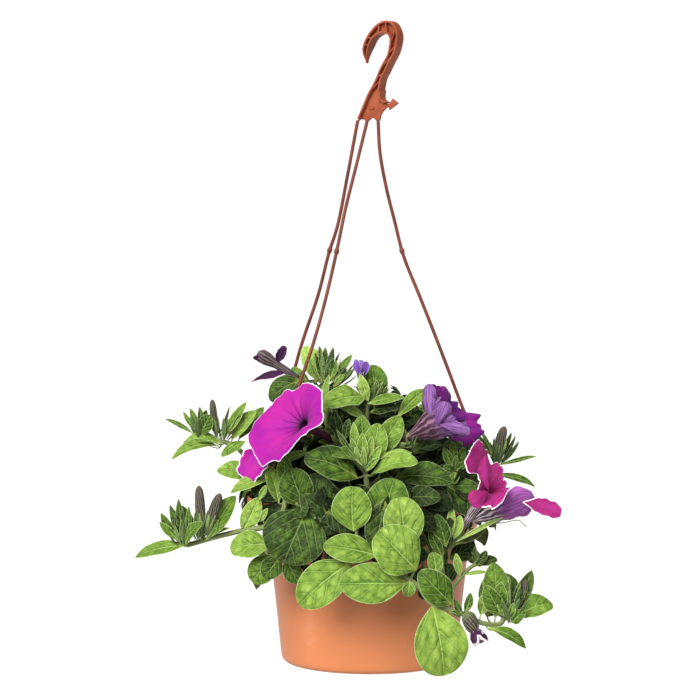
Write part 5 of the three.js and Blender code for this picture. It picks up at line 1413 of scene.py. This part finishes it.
def hook_piece():
    """The flat hook: a web between two thick edges, zigzag ribs, a barb and three necks."""
    piece = Piece("hanger_hook")
    points, faces = hook_web()
    marks = np.zeros((len(points), 9))
    piece.add(points, marks, [f for f in faces if len(f) == 4], [f for f in faces if len(f) == 3])
    outer, inner = smooth_line(HOOK_OUTER, 8), smooth_line(HOOK_INNER, 8)[::-1]
    bar(piece, outer, HOOK["edge"], HOOK["depth"], 0, (0.5, 1), (0, 0.09))
    bar(piece, inner, HOOK["edge"], HOOK["depth"], 0, (1, 0.5), (1, 0.9))
    ribs = [(2, 2), (3, 3), (5, 4), (6, 6), (8, 7), (8, 9), (10, 10), (11, 12), (13, 13), (14, 15)]
    for a, b in [(HOOK_OUTER[i], HOOK_INNER[j]) for i, j in ribs]:
        run = unit(vec(b) - vec(a))
        ends = curve_through([[*(vec(a) + run * 1.0), 0], [*(vec(b) - run * 1.0), 0]], 3)
        bar(piece, ends[:, :2], 1.5, HOOK["depth"] - 1.4, -0.75)
    # A small crescent stands proud of the web above the necks, on each side.
    bow = [[1.4 + 3.4 * math.cos(t), 523.6 + 2.8 * math.sin(t)] for t in np.linspace(-2.8, -0.6, 11)]
    bar(piece, bow, 0.9, HOOK["web"] + 2.6, -0.45, (0.3, 0.3))
    # The thick edge ends in a thin curl that runs into the barb's neck.
    curl = smooth_line([[12.6, 538], [11.9, 533], [12.4, 529.6], [15, 527.4], [18.6, 526.4]], 5)
    bar(piece, curl, 1.5, HOOK["depth"] - 1, -0.75, (0.6, 0.6))
    made = piece.make([materials["hanger"]], "hanger_plastic")
    made.data.set_sharp_from_angle(angle=math.radians(38))
    return made


def block(piece, centre, out, sizes):
    """A block with rounded edges: sizes along out, across it and upwards."""
    aside = np.cross((0, 0, 1), out)
    steps, sides = 14, 28
    corner = 0.28  # power that rounds the edges
    tilt = np.linspace(-math.pi / 2, math.pi / 2, steps + 2)[1:-1]
    angle = np.arange(sides) * 2 * math.pi / sides

    def power(value):
        return np.sign(value) * np.abs(value) ** corner

    level = power(np.cos(tilt))[:, None]
    x = level * power(np.cos(angle))[None, :] * sizes[0] / 2
    y = level * power(np.sin(angle))[None, :] * sizes[1] / 2
    z = np.broadcast_to((power(np.sin(tilt)) * sizes[2] / 2)[:, None], x.shape)
    rings = vec(centre) + x[..., None] * out + y[..., None] * aside + z[..., None] * vec((0, 0, 1))
    loft(piece, rings)


def strand_piece(name, route):
    """A thin round strand with a small nub, and the clip that straddles the rim at its foot."""
    piece = Piece(name)
    foot = vec(route[-1])
    body = [*route[:-1], [foot[0] * 0.995, foot[1] * 0.995, CLIP["top"] - 1]]
    tube(piece, body, STRAND_RADIUS, 16, 8)
    path = curve_through(body, 24)
    at = int(np.argmin(np.abs(path[:, 2] - NUB_HEIGHT)))
    centre = path[at]
    run = unit(path[at + 2] - path[at - 2])
    line = centre + np.outer(np.linspace(-4, 4, 11), run)
    spindle(piece, line, STRAND_RADIUS * np.array(NUB_SWELL), 16, 1, 0)
    out = unit((foot[0], foot[1], 0))
    radius = np.linalg.norm(foot[:2])
    low, high = radius - CLIP["depth"] / 2, radius + CLIP["depth"] / 2
    inside, outside = RIM_RADIUS - RIM_THICKNESS - 0.4, RIM_RADIUS + CLIP_GAP

    def jaw(near, far, bottom):
        middle = out * (near + far) / 2 + vec((0, 0, (bottom + CLIP["top"]) / 2))
        block(piece, middle, out, (far - near, CLIP["width"], CLIP["top"] - bottom))

    jaw(low, inside, CLIP["inner_bottom"])
    jaw(outside, high, CLIP["bottom"])
    jaw(low, high, RIM_HEIGHT + CLIP_GAP)
    return piece


# ---------------------------------------------------------------- materials


class Shader:
    """A material's node tree. What its methods take are numbers, colours or other nodes' outputs."""

    def __init__(self, name, **fixed):
        self.material = bpy.data.materials.new(name)
        self.material.use_nodes = True
        self.tree = self.material.node_tree
        self.surface = self.tree.nodes["Principled BSDF"]
        for socket, value in fixed.items():
            self.put(self.surface, socket.replace("_", " "), value)

    def put(self, node, socket, value):
        target = node.inputs[socket]
        if isinstance(value, bpy.types.NodeSocket):
            self.tree.links.new(value, target)
        elif isinstance(value, tuple) and len(value) == 3 and target.type == "RGBA":
            target.default_value = (*value, 1)
        else:
            target.default_value = value

    def node(self, kind, **settings):
        made = self.tree.nodes.new(f"ShaderNode{kind}")
        for key, value in settings.items():
            setattr(made, key, value)
        return made

    def math(self, operation, *values):
        made = self.node("Math", operation=operation)
        for i, value in enumerate(values):
            self.put(made, i, value)
        return made.outputs[0]

    def add(self, a, b):
        return self.math("ADD", a, b)

    def times(self, a, b):
        return self.math("MULTIPLY", a, b)

    def less(self, a, b):
        return self.math("SUBTRACT", a, b)

    def mix(self, factor, a, b):
        made = self.node("Mix", data_type="RGBA")
        self.put(made, 0, factor)
        self.put(made, 6, a)
        self.put(made, 7, b)
        return made.outputs[2]

    def split(self, name):
        source = self.node("Attribute", attribute_name=name)
        made = self.node("SeparateXYZ")
        self.put(made, 0, source.outputs["Vector"])
        return made.outputs[0], made.outputs[1], made.outputs[2]

    def join(self, x, y, z):
        made = self.node("CombineXYZ")
        for i, value in enumerate((x, y, z)):
            self.put(made, i, value)
        return made.outputs[0]

    def place(self):
        return self.node("TexCoord").outputs["Object"]

    def noise(self, vector, scale, detail, rough=0.5):
        made = self.node("TexNoise")
        self.put(made, "Vector", vector)
        self.put(made, "Scale", scale)
        self.put(made, "Detail", detail)
        self.put(made, "Roughness", rough)
        return made.outputs["Fac"]

    def cells(self, vector, scale, feature="DISTANCE_TO_EDGE"):
        made = self.node("TexVoronoi", feature=feature)
        self.put(made, "Vector", vector)
        self.put(made, "Scale", scale)
        return made.outputs["Distance"]

    def step(self, value, low, high):
        """A smooth step from 0 at low to 1 at high, either way round."""
        made = self.node("MapRange", interpolation_type="SMOOTHSTEP")
        self.put(made, "Value", value)
        self.put(made, "From Min", low)
        self.put(made, "From Max", high)
        return made.outputs[0]

    def ramp(self, value, stops):
        made = self.node("ValToRGB")
        entries = made.color_ramp.elements
        while len(entries) < len(stops):
            entries.new(0.5)
        for entry, (position, color) in zip(entries, stops):
            entry.position = position
            entry.color = (*color, 1)
        self.put(made, 0, value)
        return made.outputs[0]

    def repeat(self, value):
        """Distance from the nearest whole number, from 0 to 0.5."""
        return self.math("PINGPONG", value, 0.5)

    def finish(self, color, height=None, distance=0.0005, strength=0.5, roughness=None):
        self.put(self.surface, "Base Color", color)
        if roughness is not None:
            self.put(self.surface, "Roughness", roughness)
        if height is not None:
            bump = self.node("Bump")
            self.put(bump, "Strength", strength)
            self.put(bump, "Distance", distance)
            self.put(bump, "Height", height)
            self.put(self.surface, "Normal", bump.outputs[0])
        return self.material


# Greens by lightness. Near 0 they are nearly black, a painted shade for leaves deep in the bush.
LEAF_STOPS = [
    (0.0, (0.002, 0.005, 0.001)), (0.25, (0.009, 0.021, 0.003)), (0.5, (0.048, 0.098, 0.009)),
    (0.72, (0.114, 0.186, 0.026)), (1.0, (0.212, 0.303, 0.062)),
]
LEAF_PALE = (0.20, 0.31, 0.08)


def leaf_material(name, shift=0.0, warm=0.0):
    """Green blade with a pale midrib and side veins, a faint net, and a pale margin that is partly
    its hairs and partly a painted sheen on them. Light and shade are painted into the green too:
    lighter blister tops, blotches and ripples, and darker creases and vein sides.

    shift makes it lighter, and warm is the share of brown mixed in."""
    s = Shader(name, Roughness=0.45, Specular_IOR_Level=0.07, Subsurface_Weight=0.05,
               Subsurface_Scale=0.001)
    along, across, rim = s.split("place")
    spacing, seed, tone = s.split("kind")
    share, blister_top_light, under = s.split("share")
    off = s.math("ABSOLUTE", across)
    wander = s.noise(s.join(along, across, s.times(seed, 40.0)), 0.16, 3)
    curve = s.times(s.times(across, across), VEIN_CURVE)
    swept = s.less(along, s.add(s.times(off, VEIN_SWEEP), curve))
    half = s.times(s.math("GREATER_THAN", across, 0.0), 0.5)
    phase = s.add(s.add(s.math("DIVIDE", swept, spacing), half), seed)
    phase = s.add(phase, s.times(s.less(wander, 0.5), 0.35))
    gap = s.times(s.repeat(phase), s.times(spacing, 0.7))
    thin = s.add(s.times(s.less(1.0, share), 0.22), 0.14)
    vein = s.step(gap, s.times(thin, 3.0), s.times(thin, 0.6))
    wide = s.add(s.times(s.less(1.0, share), 0.7), 0.18)
    midrib = s.step(off, s.times(wide, 1.5), s.times(wide, 0.55))
    own = s.times(seed, 31.0)  # gives each blade its own stretch of the patterns
    flat = s.join(along, across, own)
    bent = s.join(s.add(along, s.times(wander, 3.0)), across, own)
    large = s.step(spacing, 7.0, 12.0)
    dark = s.times(s.step(tone, 0.6, 0.1), s.add(s.times(large, 0.85), 0.15))
    fields = s.join(s.math("DIVIDE", s.add(along, s.times(wander, 4.0)), spacing),
                    s.math("DIVIDE", across, spacing), own)
    patch = s.step(s.noise(fields, 0.8, 1), 0.38, 0.58)
    # ripple is a bump and also painted light: its lighter and darker patches are added to the green.
    ripple_bump_and_light = s.noise(fields, 1.9, 4, 0.62)
    # Creases are a bump and also painted shade: the green is darkened along them.
    crease = s.times(s.step(s.cells(fields, 1.5), 0.17, 0.02), patch)
    shade = s.step(gap, s.times(thin, 7.0), s.times(thin, 1.5))
    net = s.step(s.cells(bent, 0.30), 0.10, 0.01)
    fine = s.step(s.cells(bent, 0.85), 0.12, 0.02)
    # Painted light: broad lighter and darker blotches that stand for light falling on the puffed blade.
    painted_light_blotch = s.noise(flat, 0.11, 3, 0.6)
    # speck is partly the fine texture of the hairs and partly painted fine highlights.
    speck = s.noise(flat, 1.1, 3, 0.65)
    light = s.add(tone, s.times(s.less(painted_light_blotch, 0.5), s.add(s.times(dark, 0.8), 0.3)))
    light = s.add(light, s.times(s.less(speck, 0.5), 0.22))
    # Painted light and shade: the blister tops lighter and the hollows between them darker.
    light = s.add(light, s.times(s.less(blister_top_light, 0.40), s.add(s.times(tone, 0.22), 0.12)))
    light = s.add(light, s.times(s.less(ripple_bump_and_light, 0.5), 0.45))
    light = s.less(light, s.times(crease, 0.06))
    light = s.less(light, s.times(shade, 0.05))
    light = s.add(light, shift)
    color = s.ramp(light, LEAF_STOPS)
    lit = s.add(s.times(tone, 0.95), 0.1)
    color = s.mix(s.times(fine, s.times(dark, 0.10)), color, LEAF_PALE)
    color = s.mix(s.times(net, s.add(s.times(dark, 0.09), 0.02)), color, LEAF_PALE)
    color = s.mix(s.times(vein, s.times(lit, 0.7)), color, LEAF_PALE)
    color = s.mix(s.times(midrib, s.times(lit, 0.85)), color, (0.25, 0.37, 0.10))
    foot = s.times(s.step(share, 0.32, 0.0), s.step(off, 5.0, 0.5))
    color = s.mix(s.times(foot, 0.55), color, (0.26, 0.34, 0.05))
    # The pale margin is partly the leaf's pale hairs and partly a painted sheen of light caught in them.
    hair_fuzz_and_sheen = s.times(s.add(s.times(speck, 0.8), 0.45), s.add(s.times(tone, 0.85), 0.15))
    margin = s.times(s.step(rim, 0.75, 0.2), hair_fuzz_and_sheen)
    color = s.mix(margin, color, (0.38, 0.47, 0.22))
    back = s.mix(0.5, color, (0.11, 0.17, 0.065))
    color = s.mix(s.step(under, 0.4, 0.6), color, back)
    if warm:
        color = s.mix(warm, color, (0.22, 0.15, 0.07))
    hair = s.noise(flat, 3.2, 2)
    height = s.less(s.times(hair, 0.2), s.add(s.times(shade, 0.5), s.times(net, 0.2)))
    height = s.less(s.add(height, s.times(ripple_bump_and_light, 2.2)), s.times(crease, 0.6))
    height = s.less(s.add(height, s.times(vein, 0.25)), s.times(midrib, 0.5))
    return s.finish(color, height, 0.0007, 0.9)


def stem_material():
    """Round hairy green stem with darker, purplish streaks."""
    s = Shader("stem", Roughness=0.6, Specular_IOR_Level=0.25, Sheen_Weight=0.2, Sheen_Roughness=0.4,
               Sheen_Tint=(0.9, 0.95, 0.75))
    along, cos, sin = s.split("place")
    _, seed, tone = s.split("kind")
    around = s.join(s.times(cos, 1.6), s.times(sin, 1.6), s.add(s.times(along, 0.03), s.times(seed, 9.0)))
    streak = s.noise(around, 1.6, 4, 0.6)
    hair = s.noise(s.join(s.times(cos, 9.0), s.times(sin, 9.0), s.times(along, 1.4)), 1.0, 2)
    color = s.ramp(streak, [(0.25, (0.030, 0.032, 0.012)), (0.5, (0.085, 0.105, 0.030)),
                            (0.75, (0.16, 0.20, 0.07))])
    color = s.mix(s.times(s.step(hair, 0.55, 0.8), 0.45), color, (0.30, 0.33, 0.19))
    # Lighter where tone is high; on leaf stalks tone is the leaf's lightness, which is partly painted shade.
    color = s.mix(s.times(s.step(tone, 0.35, 0.9), 0.45), color, (0.18, 0.26, 0.07))
    return s.finish(color, hair, 0.0004, 0.7)


TURN = 2 * math.pi
MAIN_VEINS, FINE_VEINS, TUBE_STRIPES = 15, 45, 13  # round a flower
BUD_STRIPES = 15
TUBE_DARK = (0.022, 0.006, 0.012)


def petal_material(name, face, deep, throat, back, back_vein, edge, edge_width, vein, reach, furrow):
    """Velvety face with veins from a dark throat and a pale edge; streaked tube and back.

    The veins fade at about reach from the throat, and furrow is the colour between the tube's
    stripes."""
    s = Shader(name, Roughness=0.6, Specular_IOR_Level=0.08, Sheen_Weight=0.03, Sheen_Roughness=0.5,
               Sheen_Tint=(1.0, 0.85, 0.98), Subsurface_Weight=0.08, Subsurface_Scale=0.001)
    far, rim, seed = s.split("place")
    cos, sin, side = s.split("kind")
    share, _, _ = s.split("share")
    angle = s.math("ARCTAN2", sin, cos)
    flat = s.join(s.times(cos, 7.0), s.times(sin, 7.0), s.add(s.times(far, 0.05), seed))
    streak = s.noise(flat, 1.1, 4, 0.6)
    cloud = s.noise(s.join(s.times(cos, far), s.times(sin, far), seed), 0.05, 3, 0.55)
    wobble = s.times(s.less(s.noise(s.join(cos, sin, s.times(far, 0.06)), 2.2, 2), 0.5), 0.5)
    outwards = s.math("MAXIMUM", far, 0.0)
    turns = s.add(s.times(angle, MAIN_VEINS / TURN), wobble)
    room = s.times(s.add(outwards, 6.0), TURN / MAIN_VEINS)
    gap = s.times(s.repeat(turns), room)
    line = s.step(gap, 0.55, 0.25)
    fade = s.add(s.times(s.step(far, 2.0 * reach, 0.2 * reach), 0.94), 0.05)
    fine_turns = s.add(s.times(angle, FINE_VEINS / TURN), s.times(wobble, 2.0))
    fine_gap = s.times(s.repeat(fine_turns), s.times(room, 0.333))
    fine = s.times(s.step(fine_gap, 0.34, 0.08), 0.22)
    color = s.mix(s.step(cloud, 0.3, 0.75), deep, face)
    color = s.mix(s.times(s.less(streak, 0.35), 0.35), color, face)
    color = s.mix(fine, color, deep)
    color = s.mix(s.times(line, fade), color, vein)
    color = s.mix(s.math("EXPONENT", s.times(outwards, -0.26)), color, throat)
    ragged = s.add(rim, s.times(s.less(streak, 0.5), edge_width * 1.2))
    color = s.mix(s.step(ragged, edge_width * 1.15, edge_width * 0.75), color, edge)
    # Outside of the limb, and the tube below it, where share is negative.
    stripe_turns = s.add(s.times(angle, TUBE_STRIPES / TURN), s.times(wobble, 2.4))
    stripe = s.step(s.times(s.repeat(stripe_turns), 2.0), 0.80, 0.45)
    outer = s.mix(s.times(s.step(streak, 0.36, 0.64), 0.75), back, back_vein)
    outer = s.mix(s.times(line, 0.5), outer, back_vein)
    outer = s.mix(s.step(ragged, edge_width * 0.8, edge_width * 0.4), outer, edge)
    low = s.mix(s.times(stripe, 0.9), furrow, TUBE_DARK)
    outer = s.mix(s.step(share, 0.25, -0.20), outer, low)
    color = s.mix(s.step(side, 0.4, 0.6), color, outer)
    height = s.less(s.times(streak, 0.5), s.times(line, 0.6))
    return s.finish(color, height, 0.0004, 0.5)


def bud_material():
    """Dark ridges and pale furrows that wind up a hairy bud."""
    s = Shader("bud", Roughness=0.62, Specular_IOR_Level=0.15, Sheen_Weight=0.12, Sheen_Roughness=0.4,
               Sheen_Tint=(0.95, 0.95, 0.85))
    along, cos, sin = s.split("place")
    share, _, _ = s.split("share")
    angle = s.math("ARCTAN2", sin, cos)
    wobble = s.times(s.less(s.noise(s.join(cos, sin, s.times(along, 0.12)), 2.5, 2), 0.5), 0.7)
    turns = s.add(s.add(s.times(angle, BUD_STRIPES / TURN), s.times(share, 2.6)), wobble)
    stripe = s.step(s.repeat(turns), 0.06, 0.22)
    hair = s.noise(s.join(s.times(cos, 8.0), s.times(sin, 8.0), s.times(along, 1.1)), 1.2, 3)
    color = s.mix(stripe, (0.120, 0.110, 0.068), (0.010, 0.009, 0.009))
    color = s.mix(s.times(s.step(hair, 0.5, 0.8), 0.25), color, (0.17, 0.16, 0.12))
    color = s.mix(s.times(s.step(share, 0.55, 0.1), 0.7), color, (0.085, 0.12, 0.036))
    color = s.mix(s.times(s.step(share, 0.8, 1.0), 0.3), color, (0.07, 0.03, 0.03))
    return s.finish(color, s.add(hair, s.times(stripe, 0.5)), 0.0004, 0.7)


def pot_material():
    """Satin terracotta-coloured plastic, slightly cloudy, with a few dark specks and rubs."""
    s = Shader("terracotta_plastic", Specular_IOR_Level=0.25)
    place = s.place()
    cloud = s.noise(place, 9.0, 4, 0.55)
    grain = s.noise(place, 900.0, 2, 0.5)
    speck = s.step(s.cells(place, 190.0, "F1"), 0.10, 0.05)
    rare = s.step(s.noise(place, 60.0, 1), 0.60, 0.68)
    color = s.mix(s.step(cloud, 0.3, 0.7), (0.325, 0.104, 0.038), (0.36, 0.122, 0.046))
    color = s.mix(s.times(s.less(grain, 0.5), 0.2), color, (0.40, 0.17, 0.09))
    color = s.mix(s.times(s.times(speck, rare), 0.75), color, (0.10, 0.035, 0.02))
    rub = s.times(s.step(s.noise(place, 26.0, 5, 0.65), 0.58, 0.72), 0.18)
    color = s.mix(rub, color, (0.42, 0.21, 0.14))
    roughness = s.add(s.times(cloud, 0.22), 0.34)
    return s.finish(color, grain, 0.00008, 0.35, roughness)


def hanger_material(name, dark, light):
    """Moulded reddish-brown plastic with soft flow lines."""
    s = Shader(name, Roughness=0.5, Specular_IOR_Level=0.15)
    place = s.place()
    flow = s.noise(place, 60.0, 2, 0.5)
    return s.finish(s.mix(s.step(flow, 0.3, 0.7), dark, light), flow, 0.0003, 0.3)


def soil_material():
    """Dark peat with fibres and pale grains."""
    s = Shader("potting_soil", Roughness=0.95, Specular_IOR_Level=0.1)
    place = s.place()
    lump = s.noise(place, 320.0, 6, 0.7)
    color = s.ramp(lump, [(0.3, (0.006, 0.004, 0.003)), (0.5, (0.022, 0.014, 0.009)),
                          (0.7, (0.045, 0.028, 0.016))])
    grit = s.step(s.cells(place, 420.0, "F1"), 0.16, 0.08)
    color = s.mix(s.times(grit, s.step(lump, 0.5, 0.6)), color, (0.28, 0.24, 0.19))
    return s.finish(color, lump, 0.0012, 1.0)


WHITE = (0.56, 0.54, 0.57)  # margin of the magenta and the pink petals
PETAL_LOOKS = {
    "petal_magenta": {
        "face": (0.245, 0.009, 0.158), "deep": (0.178, 0.004, 0.168), "throat": (0.008, 0.001, 0.012),
        "back": (0.15, 0.025, 0.10), "back_vein": (0.04, 0.005, 0.02), "edge": WHITE, "edge_width": 1.1,
        "vein": (0.012, 0.001, 0.020), "reach": 12, "furrow": (0.06, 0.018, 0.03),
    },
    "petal_purple": {
        "face": (0.150, 0.005, 0.130), "deep": (0.036, 0.002, 0.066), "throat": (0.012, 0.001, 0.02),
        "back": (0.190, 0.085, 0.250), "back_vein": (0.026, 0.004, 0.040),
        "edge": (0.03, 0.006, 0.045), "edge_width": 0.7,
        "vein": (0.02, 0.001, 0.05), "reach": 14, "furrow": (0.150, 0.086, 0.122),
    },
    "petal_pink": {
        "face": (0.228, 0.015, 0.118), "deep": (0.150, 0.005, 0.065), "throat": (0.10, 0.002, 0.030),
        "back": (0.215, 0.060, 0.225), "back_vein": (0.075, 0.015, 0.085), "edge": WHITE, "edge_width": 1.1,
        "vein": (0.11, 0.002, 0.05), "reach": 14, "furrow": (0.34, 0.28, 0.31),
    },
    "petal_lavender": {
        "face": (0.14, 0.07, 0.27), "deep": (0.075, 0.03, 0.18), "throat": (0.04, 0.01, 0.10),
        "back": (0.19, 0.12, 0.31), "back_vein": (0.08, 0.035, 0.17),
        "edge": (0.26, 0.21, 0.38), "edge_width": 0.3,
        "vein": (0.03, 0.008, 0.09), "reach": 8, "furrow": (0.18, 0.15, 0.24),
    },
    "petal_withered": {
        "face": (0.034, 0.006, 0.036), "deep": (0.010, 0.003, 0.013), "throat": (0.01, 0.004, 0.01),
        "back": (0.034, 0.022, 0.048), "back_vein": (0.006, 0.003, 0.009),
        "edge": (0.12, 0.02, 0.10), "edge_width": 0.4,
        "vein": (0.006, 0.003, 0.009), "reach": 10, "furrow": (0.090, 0.080, 0.075),
    },
    # The pale edge of the hanging bud's curled tips is a painted highlight.
    "bud_tip": {
        "face": (0.050, 0.014, 0.055), "deep": (0.014, 0.004, 0.015), "throat": (0.02, 0.004, 0.02),
        "back": (0.32, 0.24, 0.29), "back_vein": (0.02, 0.006, 0.02),
        "edge": (0.42, 0.36, 0.38), "edge_width": 1.5,
        "vein": (0.01, 0.002, 0.01), "reach": 8, "furrow": (0.2, 0.16, 0.18),
    },
}
materials = {
    "leaf": leaf_material("leaf"),
    "calyx": leaf_material("calyx", 0.05, 0.06),
    "stem": stem_material(),
    "bud": bud_material(),
    "pot": pot_material(),
    "hanger": hanger_material("hanger_hook", (0.160, 0.033, 0.014), (0.210, 0.050, 0.021)),
    # The strands take a darker copy of the hook's plastic: a painted shade, since they are the same plastic.
    "strand": hanger_material("hanger_strand", (0.075, 0.018, 0.011), (0.110, 0.028, 0.016)),
    "soil": soil_material(),
}
for look, colors in PETAL_LOOKS.items():
    materials[look] = petal_material(look, **colors)


# ---------------------------------------------------------------- the object

PETAL_SLOTS = {
    "flower_magenta": "petal_magenta", "flower_purple": "petal_purple", "flower_pink": "petal_pink",
    "flower_lavender_small": "petal_lavender", "flower_withered": "petal_withered",
}

pot_piece()
soil_piece().make([materials["soil"]], "potting_soil")
hook_piece()
for name, route in STRANDS.items():
    strand_piece(name, route).make([materials["strand"]], "hanger_plastic")

for name, shoot in SHOOTS.items():
    shoot_piece(name).make([materials["leaf"], materials["stem"]], "shoot")
    for row in shoot["large"]:
        blade_piece = Piece(f"leaf_{row[0]}")
        leaf(blade_piece, row, shoot["stems"], 0, (50, 27))
        blade_piece.make([materials["leaf"], materials["stem"]], "leaf")

for name, flower in FLOWERS.items():
    calyx(f"{name}_calyx", flower).make([materials["calyx"], materials["stem"]], "calyx")
    piece = Piece(name)
    corolla(piece, flower)
    for row in flower["petals"]:
        petal(piece, row, (34, 23))
    piece.make([materials[PETAL_SLOTS[name]]], PETAL_SLOTS[name])
for name, flower in HALF_FLOWERS.items():
    half_flower(name, flower).make([materials[PETAL_SLOTS[name]]], PETAL_SLOTS[name])
for name, row in BUDS.items():
    piece = bud(name, row)
    if name == "bud_hanging":
        curled_tip(piece, row)
    piece.make([materials["bud"], materials["calyx"], materials["stem"], materials["bud_tip"]], "bud")


# ---------------------------------------------------------------- stage, light and camera

FLOOR_HEIGHT = -0.32


def stage_material():
    """Matt grey paper under the object."""
    s = Shader("stage", Roughness=0.9, Specular_IOR_Level=0.1)
    soft = s.noise(s.place(), 3.0, 2)
    return s.finish(s.mix(s.times(soft, 0.1), (0.52, 0.52, 0.52), (0.50, 0.50, 0.50)))


REACH = 9.0  # half the side of the floor
floor_mesh = bpy.data.meshes.new("floor")
floor_mesh.from_pydata([(-REACH, -REACH, FLOOR_HEIGHT), (REACH, -REACH, FLOOR_HEIGHT),
                        (REACH, REACH, FLOOR_HEIGHT), (-REACH, REACH, FLOOR_HEIGHT)], [], [(0, 1, 2, 3)])
floor_mesh.materials.append(stage_material())
floor = bpy.data.objects.new("floor", floor_mesh)
bpy.context.scene.collection.objects.link(floor)

WALLS, CEILING = 1.03, 0.10  # brightness at eye level and above


def studio_world():
    """White walls all round, and a dimmer ceiling above them."""
    world = bpy.data.worlds.new("studio")
    world.use_nodes = True
    tree = world.node_tree
    place = tree.nodes.new("ShaderNodeTexCoord")
    parts = tree.nodes.new("ShaderNodeSeparateXYZ")
    tree.links.new(place.outputs["Generated"], parts.inputs[0])
    level = tree.nodes.new("ShaderNodeMapRange")
    level.interpolation_type = "SMOOTHSTEP"
    for socket, value in (("From Min", 0.12), ("From Max", 0.32), ("To Min", WALLS), ("To Max", CEILING)):
        level.inputs[socket].default_value = value
    tree.links.new(parts.outputs[2], level.inputs["Value"])
    tree.links.new(level.outputs[0], tree.nodes["Background"].inputs["Strength"])
    tree.nodes["Background"].inputs["Color"].default_value = (1, 1, 1, 1)
    return world


bpy.context.scene.world = studio_world()
bpy.context.scene.view_settings.view_transform = "Standard"


def aim(thing, place, target):
    """Puts a light or camera in the scene, turned towards the target."""
    thing.location = place
    thing.rotation_euler = (Vector(target) - Vector(place)).to_track_quat("-Z", "Y").to_euler()
    bpy.context.scene.collection.objects.link(thing)


def soft_sun(name, place, strength, spread, tint=(1, 1, 1)):
    """A light from the direction of place, with softer shadows as spread in degrees grows."""
    lamp = bpy.data.lights.new(name, "SUN")
    lamp.angle = math.radians(spread)
    lamp.energy = strength
    lamp.color = tint
    aim(bpy.data.objects.new(name, lamp), place, (0, 0, 0))


soft_sun("key", (-1.25, -2.55, 2.0), 8.4, 42, (1, 0.985, 0.955))
soft_sun("top", (0.6, 0.8, 3.0), 1.6, 30)
soft_sun("fill", (2.4, -2.2, 0.7), 0.7, 60)

camera = bpy.data.cameras.new("camera")
camera.sensor_width = 36
camera.lens = 131.9
camera.clip_end = 50
shot = bpy.data.objects.new("camera", camera)
aim(shot, (-0.020, -2.4, 0.423), (-0.020, 0, 0.2965))
bpy.context.scene.camera = shot
